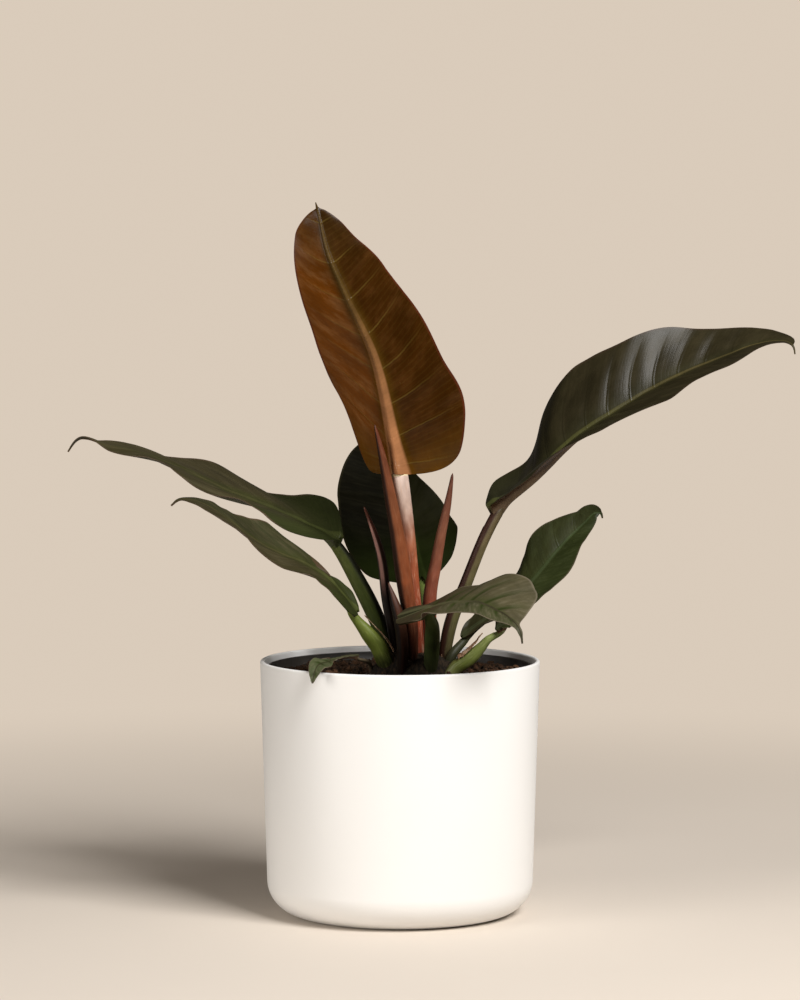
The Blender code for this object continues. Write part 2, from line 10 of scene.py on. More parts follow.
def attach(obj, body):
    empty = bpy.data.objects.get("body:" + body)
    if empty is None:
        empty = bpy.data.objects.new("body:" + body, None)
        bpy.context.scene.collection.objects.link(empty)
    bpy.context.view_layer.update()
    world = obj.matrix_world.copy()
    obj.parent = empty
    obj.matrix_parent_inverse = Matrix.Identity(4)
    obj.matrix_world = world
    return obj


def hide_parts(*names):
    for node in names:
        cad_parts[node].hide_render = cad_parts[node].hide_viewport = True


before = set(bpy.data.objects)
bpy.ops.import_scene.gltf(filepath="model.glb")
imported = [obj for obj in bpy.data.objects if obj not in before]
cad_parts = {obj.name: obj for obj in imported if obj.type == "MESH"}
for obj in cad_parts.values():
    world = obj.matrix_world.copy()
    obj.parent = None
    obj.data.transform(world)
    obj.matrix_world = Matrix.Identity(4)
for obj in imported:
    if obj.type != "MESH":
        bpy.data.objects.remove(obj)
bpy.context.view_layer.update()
mm = 0.001

# Camera
view = {"place": (0.0, -2.6, 0.4576), "tiltDown": 3.876, "lens": 138.4, "sensor": 36.0}


def setCamera():
    data = bpy.data.cameras.new("studioCamera")
    data.lens = view["lens"]
    data.sensor_width = view["sensor"]
    camera = bpy.data.objects.new("studioCamera", data)
    camera.location = view["place"]
    camera.rotation_euler = (math.radians(90 - view["tiltDown"]), 0, 0)
    bpy.context.collection.objects.link(camera)
    bpy.context.scene.camera = camera


setCamera()
print("camera set")


# Shader helpers
def newFinish(name):
    material = bpy.data.materials.new(name)
    material.use_nodes = True
    return material, material.node_tree, material.node_tree.nodes["Principled BSDF"]


def addNode(tree, kind, **settings):
    made = tree.nodes.new("ShaderNode" + kind)
    for setting, value in settings.items():
        setattr(made, setting, value)
    return made


def feed(tree, socket, value):
    if isinstance(value, bpy.types.NodeSocket):
        tree.links.new(value, socket)
    else:
        socket.default_value = value


def reckon(tree, operation, *values, clamp=False):
    made = addNode(tree, "Math", operation=operation, use_clamp=clamp)
    for socket, value in zip(made.inputs, values):
        feed(tree, socket, value)
    return made.outputs[0]


def ease(tree, value, low, high, toLow=0.0, toHigh=1.0):
    made = addNode(tree, "MapRange", interpolation_type="SMOOTHSTEP")
    for socket, given in zip(made.inputs, (value, low, high, toLow, toHigh)):
        feed(tree, socket, given)
    return made.outputs[0]


def mixColours(tree, amount, first, second, way="MIX"):
    made = addNode(tree, "Mix", data_type="RGBA", blend_type=way)
    feed(tree, made.inputs[0], amount)
    for socket, colour in zip((made.inputs[6], made.inputs[7]), (first, second)):
        feed(tree, socket, colour if isinstance(colour, bpy.types.NodeSocket) else (*colour, 1.0))
    return made.outputs[2]


def swing(tree, value, reach, middle):
    # a noise between 0 and 1 turned into small steps to either side of the middle
    return reckon(tree, "MULTIPLY_ADD", reckon(tree, "SUBTRACT", value, 0.5), reach, middle)


def fromMiddle(tree, track):
    # how far each place lies from the middle of its own step of the track
    return reckon(tree, "ABSOLUTE", reckon(tree, "SUBTRACT", reckon(tree, "FRACT", track), 0.5))


def shaded(tree, colour, amount):
    made = addNode(tree, "HueSaturation")
    feed(tree, made.inputs["Value"], amount)
    feed(tree, made.inputs["Color"], colour)
    return made.outputs[0]


def speckle(tree, where, scale, detail=3.0, roughness=0.5, stretch=None):
    if stretch:
        squash = addNode(tree, "VectorMath", operation="MULTIPLY")
        feed(tree, squash.inputs[0], where)
        squash.inputs[1].default_value = stretch
        where = squash.outputs[0]
    made = addNode(tree, "TexNoise")
    feed(tree, made.inputs["Vector"], where)
    made.inputs["Scale"].default_value = scale
    made.inputs["Detail"].default_value = detail
    made.inputs["Roughness"].default_value = roughness
    return made.outputs[0]


def attribute(tree, name):
    return addNode(tree, "Attribute", attribute_name=name).outputs["Vector"]


def objectPlace(tree):
    return addNode(tree, "TexCoord").outputs["Object"]


def split(tree, vector):
    made = addNode(tree, "SeparateXYZ")
    feed(tree, made.inputs[0], vector)
    return made.outputs[0], made.outputs[1], made.outputs[2]


def dent(tree, shader, height, depth, strength=1.0):
    made = addNode(tree, "Bump")
    made.inputs["Strength"].default_value = strength
    made.inputs["Distance"].default_value = depth
    feed(tree, made.inputs["Height"], height)
    tree.links.new(made.outputs[0], shader.inputs["Normal"])


# Curve and mesh helpers
def unit(vectors):
    vectors = np.asarray(vectors, float)
    return vectors / np.linalg.norm(vectors, axis=-1, keepdims=True)


def smoothRoute(points, count):
    # a smooth curve through the given points, read at even steps
    given = np.asarray(points, float)
    spacing = np.linalg.norm(np.diff(given, axis=0), axis=1)[:, None] ** 0.75
    slope = np.diff(given, axis=0) / spacing
    tangent = np.empty_like(given)
    tangent[1:-1] = (slope[1:] * spacing[:-1] + slope[:-1] * spacing[1:]) / (spacing[1:] + spacing[:-1])
    tangent[0] = 1.5 * slope[0] - 0.5 * tangent[1]
    tangent[-1] = 1.5 * slope[-1] - 0.5 * tangent[-2]
    s = np.linspace(0, 1, 41)[:, None]
    pieces = [given[:1]]
    for i, step in enumerate(spacing):
        piece = (2 * s**3 - 3 * s**2 + 1) * given[i] + (s**3 - 2 * s**2 + s) * step * tangent[i]
        piece += (3 * s**2 - 2 * s**3) * given[i + 1] + (s**3 - s**2) * step * tangent[i + 1]
        pieces.append(piece[1:])
    fine = np.concatenate(pieces)
    travelled = np.concatenate([[0], np.cumsum(np.linalg.norm(np.diff(fine, axis=0), axis=1))])
    even = np.linspace(0, travelled[-1], count)
    return np.stack([np.interp(even, travelled, fine[:, k]) for k in range(3)], 1), travelled[-1]


def eased(stations, at):
    # values at even stations from 0 to 1, read off a smooth curve
    values = np.asarray(stations, float)
    x = np.clip(np.asarray(at, float), 0, 1) * (len(values) - 1)
    i = np.clip(x.astype(int), 0, len(values) - 2)
    s = x - i
    slope = np.gradient(values)
    start = (2 * s**3 - 3 * s**2 + 1) * values[i] + (s**3 - 2 * s**2 + s) * slope[i]
    return start + (3 * s**2 - 2 * s**3) * values[i + 1] + (s**3 - s**2) * slope[i + 1]


def makePiece(name, points, faces, finish, attributes=None, replaces=None, sharpFrom=None):
    mesh = bpy.data.meshes.new(name)
    mesh.from_pydata((np.asarray(points) * mm).tolist(), [], faces)
    mesh.shade_smooth()
    if sharpFrom:
        mesh.set_sharp_from_angle(angle=math.radians(sharpFrom))
    mesh.materials.append(finish)
    for label, values in (attributes or {}).items():
        made = mesh.attributes.new(label, "FLOAT_VECTOR", "POINT")
        made.data.foreach_set("vector", np.asarray(values, np.float32).ravel())
    piece = bpy.data.objects.new(name, mesh)
    bpy.context.collection.objects.link(piece)
    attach(piece, "root")
    if replaces:
        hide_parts(replaces)
    return piece


def gridFaces(rows, columns, first=0, flipped=False, closed=False):
    faces = []
    for i in range(rows - 1):
        for j in range(columns if closed else columns - 1):
            a = first + i * columns + j
            b = first + i * columns + (j + 1) % columns
            face = (a, b, b + columns, a + columns)
            faces.append(face[::-1] if flipped else face)
    return faces


def rimFaces(rows, columns, inward=False):
    # joins the edges of two equal grids whose points follow each other
    border = [(0, j) for j in range(columns)] + [(i, columns - 1) for i in range(1, rows)]
    border += [(rows - 1, j) for j in range(columns - 2, -1, -1)] + [(i, 0) for i in range(rows - 2, 0, -1)]
    ring = [i * columns + j for i, j in border]
    second = rows * columns
    faces = []
    for a, b in zip(ring, ring[1:] + ring[:1]):
        faces.append((a, b, second + b, second + a) if inward else (b, a, second + a, second + b))
    return faces


def fanFaces(rings, steps):
    # closes a turned mesh at its first and at its last point
    top, last = 1 + (rings - 1) * steps, 1 + rings * steps
    faces = []
    for k in range(steps):
        following = (k + 1) % steps
        faces.append((0, 1 + following, 1 + k))
        faces.append((last, top + k, top + following))
    return faces


# Blades. "rib" is the midrib from the joint to the tip; "face" is where the upper side looks at
# even stations along it; "left" and "right" are half widths; "foldLeft" and "foldRight" lift the
# halves towards the upper side; the smaller "sweepLeft" and "sweepRight" are, the further forward
# the side veins run; "lobe" is how far the blade reaches back past the joint; "spur" is the share
# of the length that the drawn-out tip takes; "wave" is the height, number and phase of the edge's
# waves; "ridge" is the midrib's depth and half width at the joint; "pleats" is the number of side
# veins, how deep the blade dips along them and a seed; "cut" is where the plane of the foot looks.
leafA = {
    "rib": [(0.8, -22, 300), (-5, -28, 327), (-17, -36, 379), (-38, -41, 425), (-48, -41, 449),
            (-54, -38, 474), (-56, -36, 482)],
    "face": [(0.1, 1, 0.1), (0.1, 1, 0)],
    "left": (24, 46.5, 51, 43, 39, 34, 29, 18, 4),
    "right": (16, 23, 29, 36, 36, 32, 28, 21, 11),
    "foldLeft": (4, 7, 13, 9),
    "foldRight": (21, 20, 14, 8),
    "jointReach": 14, "cut": (0, 0.06, 1), "sweepLeft": 0.76, "sweepRight": 0.5,
    "lobe": 2, "spur": 0.022, "wave": (0.6, 2.93, 0.23), "ridge": (7.0, 5.4), "pleats": (8, 0.55, 3),
}
leafB = {
    "rib": [(65.2, 13.5, 279), (90, 22, 296), (121, 32, 323), (149, 38, 341), (171, 43, 354),
            (193, 46, 365), (222, 48, 377), (246, 48, 386), (257, 47, 388), (267, 45, 387.5),
            (270, 43, 385), (271.5, 42, 379)],
    "face": [(-0.5, -0.25, 0.9), (-0.26, -0.76, 0.72), (-0.18, -0.8, 0.7), (-0.1, -0.6, 0.8)],
    "left": (14, 31, 32, 40, 44, 38.5, 36, 24, 15, 10),
    "right": (16, 26, 34, 40, 40, 35, 26, 22, 9, 2),
    "foldLeft": (21, -19, 12, 23, 7, -16),
    "foldRight": (17, 40, 42, 34, 32, 20),
    "sweepLeft": 0.66, "sweepRight": 0.66,
    "lobe": 7, "spur": 0.03, "wave": (1.3, 4.2, 0.38), "ridge": (6.0, 3.6), "pleats": (14, 1.2, 5),
}
leafC = {
    "rib": [(-41.9, 12, 254.6), (-62, 16, 264), (-87, 20, 275), (-118, 22, 287), (-147, 20, 301),
            (-171, 17, 311), (-197, 13, 318), (-218, 10, 323), (-226, 8, 314)],
    "face": [(0.3, -0.4, 0.9), (0.3, -0.35, 0.9), (0.2, -0.2, 0.95), (0.1, -0.1, 1.0)],
    "left": (18, 30, 33, 30, 26, 26.5, 28, 17, 7, 1),
    "right": (13, 28, 33, 32, 35, 31, 22, 17, 9, 1),
    "foldLeft": (0, 15, 12, 7, 5, 20),
    "foldRight": (37, 1, -6, 0, -9, -2),
    "sweepLeft": 0.5, "sweepRight": 0.5,
    "lobe": 3, "spur": 0.015, "wave": (3.4, 3.1, 0.79), "ridge": (5.0, 3.2), "pleats": (10, 0.8, 8),
}
leafD = {
    "rib": [(-29.5, -21, 208.5), (-49, -30, 232), (-63, -34, 241), (-81, -40, 249), (-95, -45, 257),
            (-114, -51, 272), (-133, -55, 284), (-146, -58, 286), (-152, -59, 282)],
    "face": [(0.9, -0.6, 0.3), (0.5, -0.45, 0.8), (0.3, -0.4, 0.9), (0.2, -0.2, 1.0)],
    "left": (13, 22, 26, 26, 28, 24, 19, 13, 7, 1),
    "right": (8, 10, 11, 11, 8, 4, 1, 9, 22, 29, 28, 25, 21, 17, 13, 10, 7, 4, 1),
    "foldLeft": (18, 24, 13, 16, 10, -2),
    "foldRight": (11, -28, -8, 1, -12, 4),
    "sweepLeft": 0.5, "sweepRight": 0.5,
    "lobe": 3, "spur": 0.015, "wave": (1.75, 3.1, 0.75), "ridge": (4.0, 2.6), "pleats": (10, 0.7, 11),
}
leafE = {
    "rib": [(15, 30, 227), (8, 62, 256), (1, 98, 289), (-6, 128, 315), (-11, 150, 337)],
    "face": [(0, -1, 0.7), (0, -1, 0.8), (0, -1, 0.9), (0, -0.8, 1)],
    "left": (22, 37, 44, 48, 47.5, 46, 39, 25, 11, 1),
    "right": (10, 25, 31, 29, 24, 13, 8, 7, 5, 1),
    "foldLeft": (-11, -5, 3, 10, 14, 6),
    "foldRight": (10, 14, 1, 4, 3, 5),
    "sweepLeft": 0.72, "sweepRight": 0.72,
    "lobe": 6, "spur": 0.02, "wave": (2.4, 2.94, 0.7), "ridge": (5.0, 3.0), "pleats": (9, 0.6, 14),
}
leafF = {
    "rib": [(43, 1, 189), (59, 5, 201), (76, 10, 212), (91, 16, 226), (105, 22, 242),
            (114, 26, 252), (127, 30, 264), (134, 31, 270.5), (137.5, 31, 270.5), (138.5, 30, 267)],
    "face": [(-0.5, -0.7, 0.6), (-0.5, -0.75, 0.5), (-0.4, -0.8, 0.5)],
    "left": (4, 9, 16, 20, 19, 20, 21, 17, 9, 4),
    "right": (4, 7, 13, 19, 22, 21, 17, 12, 6, 2),
    "foldLeft": (7, -7, -16, 4, 31, 35),
    "foldRight": (23, 20, 14, 6, -3, -2),
    "sweepLeft": 0.66, "sweepRight": 0.66,
    "lobe": 2, "spur": 0.03, "wave": (1.8, 3.24, 0.78), "ridge": (4.0, 2.4), "pleats": (9, 0.5, 17),
}
leafG = {
    "rib": [(18.8, -58, 213.6), (30.4, -66, 217.6), (40.2, -76, 219.2), (51.2, -88, 220),
            (63.9, -103, 215.9), (72.1, -113, 211.5), (77.1, -120, 206), (79.6, -122, 196.5)],
    "face": [(0, -0.5, 0.9), (0.1, -0.6, 0.8), (0.25, -0.75, 0.65), (0.4, -0.9, 0.35)],
    "left": (5, 9, 11, 15, 20, 22, 25, 29, 31, 30, 31, 33, 34, 32, 28, 13, 2.5, 1.5, 1),
    "right": (11, 17, 25, 28, 27, 23, 18, 12, 3, 1),
    "foldLeft": (22, -14, 0, 10, 4, -20),
    "foldRight": (-8, 15, 9, 13, 3, 3),
    "sweepLeft": 0.46, "sweepRight": 0.46,
    "lobe": 26, "spur": 0.04, "wave": (1.86, 2.97, 0.05), "ridge": (4.0, 2.4), "pleats": (8, 1.3, 20),
}
leafH = {
    "rib": [(-28, -24, 178.4), (-38.3, -45, 179.4), (-47.7, -68, 178.8), (-54.8, -84, 177),
            (-57.5, -92, 167.5)],
    "face": [(0.2, -0.2, 1), (0.2, -0.3, 1), (-0.1, -0.8, 0.6), (-0.2, -1, 0.1)],
    "left": (0.8, 0.8, 0.8, 0.9, 1.1, 1.7, 5, 6.8, 4, 0.5),
    "right": (0.8, 0.8, 0.8, 0.9, 1.1, 1.7, 4.5, 6, 4, 0.5),
    "foldLeft": (20, 20, 15, 10, 10, 10),
    "foldRight": (20, 20, 15, 10, 10, 10),
    "sweepLeft": 0.7, "sweepRight": 0.7,
    "lobe": 0.5, "spur": 0.0, "wave": (0.3, 2.0, 0.1), "ridge": (1.2, 0.8), "pleats": (7, 0.15, 23),
}
leafI = {
    "rib": [(66, -17, 196), (71, -18, 199.5), (76, -19, 202.5), (80, -19.5, 204), (83, -19, 207)],
    "face": [(-0.6, -0.5, 0.7), (-0.4, -0.5, 0.7), (-0.2, -0.5, 0.8), (0, -0.4, 0.9)],
    "left": (3, 5, 6, 7, 7, 7, 6, 4, 2, 0.5),
    "right": (3, 5, 6, 7, 7, 7, 6, 4, 2, 0.5),
    "foldLeft": (30, 20, 10, 8, 5, 5),
    "foldRight": (30, 20, 10, 8, 5, 5),
    "sweepLeft": 0.7, "sweepRight": 0.7,
    "lobe": 2, "spur": 0.0, "wave": (0.8, 3.0, 0.3), "ridge": (2.4, 1.2), "pleats": (7, 0.2, 26),
}

blade = {
    "rows": 160,
    "columns": 30,          # on each side of the midrib
    "rowCrowding": 1.6,     # rows stand closer near the joint
    "columnCrowding": 1.3,  # and columns closer near the midrib
    "thickness": 0.8,
    "edgeThickness": 0.4,
    "tipHalfWidth": 0.3,
    "tipTaper": 1.2,        # how much wider the drawn-out tip starts
    "tipReach": 0.02,       # how far past the spur the drawn-out tip begins
    "lobeRounding": 0.10,
    "tipRounding": 0.07,
    "ribStand": 0.25,       # how far the midrib stands out of the upper side
    "ribHalfWidth": 0.35,   # at the tip
    "ribDepth": 0.4,        # at the tip
    "ribAtStalk": 1.35,     # half width at the joint, in radii of the stalk
    "ribPastStalk": 1.3,    # how much deeper than the stalk it is there
    "jointReach": 6,        # how far along the midrib the joint is felt
    "cutReach": 10,         # and a foot that ends in a plane
    "ruffle": 0.45,         # small uneven waves along the edge
    "ruffles": 26,
    "sideShift": 0.37,      # the left edge waves this share of a turn later
    "fadeShare": 0.35,      # waves fade where the blade is narrower than this share of its width
    "pleatRise": 3.2,
    "sharpFrom": 48,        # degrees between two faces that make an edge
}


def ribFrame(leaf, share):
    route, length = smoothRoute(leaf["rib"], 301)
    along = np.linspace(0, 1, 301)
    tangents = unit(np.gradient(route, axis=0))
    inside = np.clip(share, 0, 1)
    point = np.stack([np.interp(inside, along, route[:, k]) for k in range(3)], -1)
    tangent = unit(np.stack([np.interp(inside, along, tangents[:, k]) for k in range(3)], -1))
    face = unit(np.stack([eased([f[k] for f in leaf["face"]], inside) for k in range(3)], -1))
    point = point + np.minimum(share, 0)[..., None] * length * tangent
    up = unit(face - (face * tangent).sum(-1, keepdims=True) * tangent)
    return point, tangent, up, np.cross(up, tangent), length


def randomCurve(seed, count, at):
    # a smooth random curve between -1 and 1 with about count swings
    rng = np.random.default_rng(seed)
    return eased(rng.uniform(-1, 1, count + 1), at)


def ribHalfWidth(leaf, share):
    return blade["ribHalfWidth"] + (leaf["ridge"][1] - blade["ribHalfWidth"]) * (1 - share) ** 1.1


def bladeSurface(leaf):
    share = np.linspace(0, 1, blade["rows"] + 1) ** blade["rowCrowding"]
    columns = blade["columns"]
    grid = np.zeros((len(share), 2 * columns + 1, 3))
    place = np.zeros_like(grid)
    reach = np.zeros_like(grid)
    height, count, phase = leaf["wave"]
    pleats, pleatDepth, seed = leaf["pleats"]
    length = ribFrame(leaf, share)[-1]
    lobe = leaf["lobe"] / length
    ribHalf = ribHalfWidth(leaf, share)
    track = pleats * share**0.85
    crease = np.abs(np.sin(math.pi * (track - 0.5))) ** 0.7 * (0.8 + 0.2 * np.cos(math.pi * track))
    for side, sign in (("Right", -1), ("Left", 1)):
        station = 0.0015 + 0.9985 * share ** leaf["sweep" + side]
        edge = (1 + lobe) * station - lobe
        rounding = np.sqrt(1 - np.clip(1 - station / blade["lobeRounding"], 0, 1) ** 2)
        toTip = (1 - leaf["spur"] - station) / blade["tipRounding"]
        closing = np.sqrt(1 - np.clip(1 - toTip, 0, 1) ** 2)
        taper = (1 - closing) * np.clip((1 - station) / (leaf["spur"] + blade["tipReach"]), 0, 1)
        width = eased(leaf[side.lower()], station) * rounding * closing + blade["tipHalfWidth"]
        width = width + blade["tipTaper"] * taper
        fold = np.radians(eased(leaf["fold" + side], station))
        turn = 2 * math.pi * (count * station + phase + (blade["sideShift"] if sign > 0 else 0))
        fade = np.clip(width / (blade["fadeShare"] * max(leaf[side.lower()])), 0, 1)
        ruffle = blade["ruffle"] * fade * randomCurve(seed + sign, blade["ruffles"], station)
        for j in range(columns + 1):
            v = (j / columns) ** blade["columnCrowding"]
            point, _, up, left, _ = ribFrame(leaf, share + (edge - share) * v**1.3)
            lift = width * v * np.sin(fold) + height * v**2 * np.sin(turn) * fade + ruffle * v**3
            lift = lift + pleatDepth * crease * blade["pleatRise"] * v**0.8 * (1 - v) * fade
            sideways = sign * width * v * np.cos(fold)
            k = columns + sign * j
            grid[:, k] = point + left * sideways[:, None] + up * lift[:, None]
            place[:, k] = np.stack([share, np.full_like(share, sign * v), 0 * share], 1)
            reach[:, k] = np.stack([share * length, sign * width * v, width * v / ribHalf], 1)
    return grid, ribFrame(leaf, share)[2], place, reach, share, length


def bladeMesh(name, leaf, finish, jointRadius):
    upper, ribUp, place, reach, share, length = bladeSurface(leaf)
    rows, columns = upper.shape[:2]
    outward = unit(np.cross(np.gradient(upper, axis=0), np.gradient(upper, axis=1)))
    outward[:, columns // 2] = ribUp
    taper = np.clip(1 - np.abs(place[..., 1]) ** 6, 0, 1)
    thickness = blade["edgeThickness"] + (blade["thickness"] - blade["edgeThickness"]) * taper
    # under the joint the midrib is as thick as the stalk that it grows from
    joint = np.exp(-((share * length / leaf.get("jointReach", blade["jointReach"])) ** 1.5))
    ridge = blade["ribDepth"] + (leaf["ridge"][0] - blade["ribDepth"]) * (1 - share) ** 1.3
    ridge = ridge + np.clip(2 * jointRadius + blade["ribPastStalk"] - ridge, 0, None) * joint
    ribHalf = ribHalfWidth(leaf, share)
    halfWidth = ribHalf + (blade["ribAtStalk"] * jointRadius - ribHalf) * joint
    across = np.abs(reach[..., 1]) / halfWidth[:, None]
    bulge = np.exp(-((across / 0.85) ** 2.6))
    lower = upper - outward * thickness[..., None] - ribUp[:, None, :] * (ridge[:, None] * bulge)[..., None]
    stand = blade["ribStand"] * (np.exp(-((1.6 * across) ** 4)) - 0.6 * np.exp(-((across - 1.5) ** 2) * 3))
    upper = upper + outward * (stand * (1 - share[:, None]) ** 0.4)[..., None]
    reach[..., 2] = across
    if "cut" in leaf:
        # the foot ends in a plane square to the given direction
        cut = unit(np.array(leaf["cut"], float))
        tangent = ribFrame(leaf, np.zeros(1))[1][0]
        rib = upper[:, columns // 2][:, None].copy()
        close = np.exp(-((share * length / blade["cutReach"]) ** 2))[:, None]
        for sheet in (upper, lower):
            sheet -= (((sheet - rib) @ cut) / (tangent @ cut) * close)[..., None] * tangent
    points = np.concatenate([upper.reshape(-1, 3), lower.reshape(-1, 3)])
    under = place.copy()
    under[..., 2] = 1.0
    faces = gridFaces(rows, columns) + gridFaces(rows, columns, rows * columns, flipped=True)
    faces += rimFaces(rows, columns)
    attributes = {
        "leafPlace": np.concatenate([place.reshape(-1, 3), under.reshape(-1, 3)]),
        "leafReach": np.concatenate([reach.reshape(-1, 3)] * 2),
    }
    makePiece("blade_" + name, points, faces, finish, attributes, "leaf_" + name, blade["sharpFrom"])


bladeSkin = {
    "mottleScale": 0.055,       # sizes of the patterns, per millimetre
    "fineScale": 0.9,
    "drift": 0.012,             # how far a side vein strays along the midrib
    "veinCrowding": 0.85,       # side veins stand closer near the tip
    "hairsPerVein": 7.0,        # fine lines between two side veins
    "hairShow": 0.10,
    "halves": (-0.06, 0.06),    # where the left half's colour passes into the right half's
    "rimFrom": (0.955, 0.99),
    "rimAlong": (0.01, 0.06),   # the rim's colour starts this far from the joint
    "tipFrom": (0.62, 0.95),
    "tipShow": 0.65,
    "shade": (0.74, 1.22),
    "glossSwing": 0.22,
    "relief": {"streaks": 0.8, "fine": 0.08, "hair": 0.10, "vein": -0.8},
    "dentDepth": 0.00022,
    "dentStrength": 0.5,
}


def bladeFinish(name, look, veins):
    # leafPlace holds the share of the midrib, the share from rib to edge and 1 on the underside;
    # leafReach holds millimetres along, millimetres across and the distance in rib half widths
    material, tree, shader = newFinish(name)
    skin, relief = bladeSkin, bladeSkin["relief"]
    along, side, under = split(tree, attribute(tree, "leafPlace"))
    reach = attribute(tree, "leafReach")
    ribShare = split(tree, reach)[2]
    out = reckon(tree, "ABSOLUTE", side)
    mottle = speckle(tree, reach, skin["mottleScale"], 4.0, 0.6)
    fine = speckle(tree, reach, skin["fineScale"], 3.0, 0.6)
    streaks = speckle(tree, attribute(tree, "leafPlace"), 1.0, 4.0, 0.65, (look["streakScale"], 2.2, 3.0))

    curve = reckon(tree, "POWER", swing(tree, mottle, skin["drift"], along), skin["veinCrowding"])
    track = reckon(tree, "MULTIPLY", curve, veins)
    vein = ease(tree, reckon(tree, "MULTIPLY", fromMiddle(tree, track), -2.0), -look["veinWidth"], 0.0)
    vein = reckon(tree, "MULTIPLY", vein, ease(tree, out, look["veinReach"], 0.15))
    hair = ease(tree, fromMiddle(tree, reckon(tree, "MULTIPLY", track, skin["hairsPerVein"])), 0.3, 0.5)
    rib = ease(tree, ribShare, 1.1, 0.7)
    nearRib = ease(tree, out, look["glowReach"], 0.0)
    rim = reckon(tree, "MULTIPLY", ease(tree, out, *skin["rimFrom"]), ease(tree, along, *skin["rimAlong"]))
    foot = ease(tree, along, look["footReach"], 0.0)
    tip = ease(tree, along, *skin["tipFrom"], 0.0, skin["tipShow"])
    veinShow = reckon(tree, "MULTIPLY", vein, look["veinShow"])
    streakShow = ease(tree, side, *skin["halves"], look["streakRight"], look["streakLeft"])
    streakShow = reckon(tree, "MULTIPLY", ease(tree, streaks, 0.42, 0.68), streakShow)

    layers = {"Streak": streakShow, "NearRib": nearRib, "Foot": foot, "Tip": tip, "Vein": veinShow}
    half = ease(tree, side, *skin["halves"])
    sheets = []
    for face in ("upper", "under"):
        sheet = mixColours(tree, half, look[face + "Right"], look[face + "Left"])
        for layer, amount in layers.items():
            if face + layer in look:
                sheet = mixColours(tree, amount, sheet, look[face + layer])
        spine = mixColours(tree, ease(tree, along, 0.0, 0.75), look[face + "Rib"], look[face + "RibTip"])
        sheets.append(mixColours(tree, rib, sheet, spine))
    colour = mixColours(tree, under, *sheets)
    colour = mixColours(tree, reckon(tree, "MULTIPLY", hair, skin["hairShow"]), colour, look["hair"])
    colour = mixColours(tree, rim, colour, look["rim"])
    shade = ease(tree, mottle, 0.25, 0.75, *skin["shade"])
    feed(tree, shader.inputs["Base Color"], shaded(tree, colour, shade))

    gloss = swing(tree, mottle, skin["glossSwing"], look["roughness"])
    feed(tree, shader.inputs["Roughness"], reckon(tree, "MULTIPLY_ADD", under, look["underRougher"], gloss))
    shader.inputs["Specular IOR Level"].default_value = look["specular"]
    height = reckon(tree, "MULTIPLY", fine, relief["fine"])
    height = reckon(tree, "MULTIPLY_ADD", streaks, relief["streaks"], height)
    height = reckon(tree, "MULTIPLY_ADD", hair, relief["hair"], height)
    height = reckon(tree, "MULTIPLY_ADD", vein, relief["vein"], height)
    dent(tree, shader, height, skin["dentDepth"], skin["dentStrength"])
    return material


# How the blades look. "upper" and "under" are the two sides; "NearRib" is a glow beside the midrib,
# "Foot" the part by the stalk, "Streak" what runs out to the edge; reaches are shares of the blade.
bronzeLook = {
    "veinWidth": 0.12, "veinReach": 0.95, "veinShow": 0.3, "glowReach": 0.35, "footReach": 0.3,
    "upperLeft": (0.022, 0.018, 0.008), "upperRight": (0.018, 0.015, 0.007),
    "upperNearRib": (0.024, 0.022, 0.009), "upperFoot": (0.016, 0.016, 0.006),
    "upperVein": (0.012, 0.011, 0.005), "upperStreak": (0.034, 0.027, 0.013),
    "upperRib": (0.055, 0.060, 0.018), "upperRibTip": (0.060, 0.048, 0.018),
    "underLeft": (0.050, 0.022, 0.010), "underRight": (0.060, 0.024, 0.012),
    "underNearRib": (0.050, 0.028, 0.012), "underFoot": (0.045, 0.022, 0.010),
    "underVein": (0.080, 0.050, 0.025), "underStreak": (0.070, 0.034, 0.018),
    "underRib": (0.14, 0.075, 0.042), "underRibTip": (0.10, 0.05, 0.025),
    "streakLeft": 0.5, "streakRight": 0.5, "streakScale": 46.0,
    "hair": (0.032, 0.028, 0.015), "rim": (0.034, 0.022, 0.012),
    "roughness": 0.33, "underRougher": 0.12, "specular": 0.15,
}
copperLook = {
    **bronzeLook,
    "veinWidth": 0.07, "veinReach": 1.15, "veinShow": 0.5, "glowReach": 0.25, "footReach": 0.12,
    "upperVein": (0.05, 0.06, 0.02),
    # the underside's halves are painted unlike: underRight lighter and warmer as painted light, underLeft
    # darker as painted shade
    "underLeft": (0.033, 0.0105, 0.0004), "underRight": (0.103, 0.029, 0.001),
    "underNearRib": (0.062, 0.030, 0.002), "underFoot": (0.075, 0.030, 0.002),
    "underTip": (0.024, 0.011, 0.0006),
    "underVein": (0.125, 0.082, 0.016), "underStreak": (0.155, 0.064, 0.018),
    "underRib": (0.345, 0.150, 0.064), "underRibTip": (0.070, 0.040, 0.009),
    "streakLeft": 0.15, "streakRight": 0.75, "streakScale": 22.0,
    "hair": (0.10, 0.06, 0.012), "rim": (0.075, 0.018, 0.006),
    "roughness": 0.27, "underRougher": -0.02, "specular": 0.13,
}
duskLook = {
    **bronzeLook,
    "glowReach": 0.4, "footReach": 0.26,
    "upperLeft": (0.040, 0.034, 0.013), "upperRight": (0.044, 0.037, 0.016),
    "upperNearRib": (0.036, 0.040, 0.010), "upperFoot": (0.022, 0.028, 0.006),
    "upperVein": (0.022, 0.024, 0.008), "upperStreak": (0.066, 0.056, 0.028),
    "upperRib": (0.052, 0.062, 0.016), "upperRibTip": (0.060, 0.048, 0.020),
    "underFoot": (0.034, 0.036, 0.012), "underStreak": (0.046, 0.046, 0.020),
    "streakLeft": 0.7, "streakRight": 0.7, "streakScale": 30.0,
    "hair": (0.055, 0.052, 0.028), "rim": (0.075, 0.050, 0.028),
    "roughness": 0.42, "specular": 0.2,
}
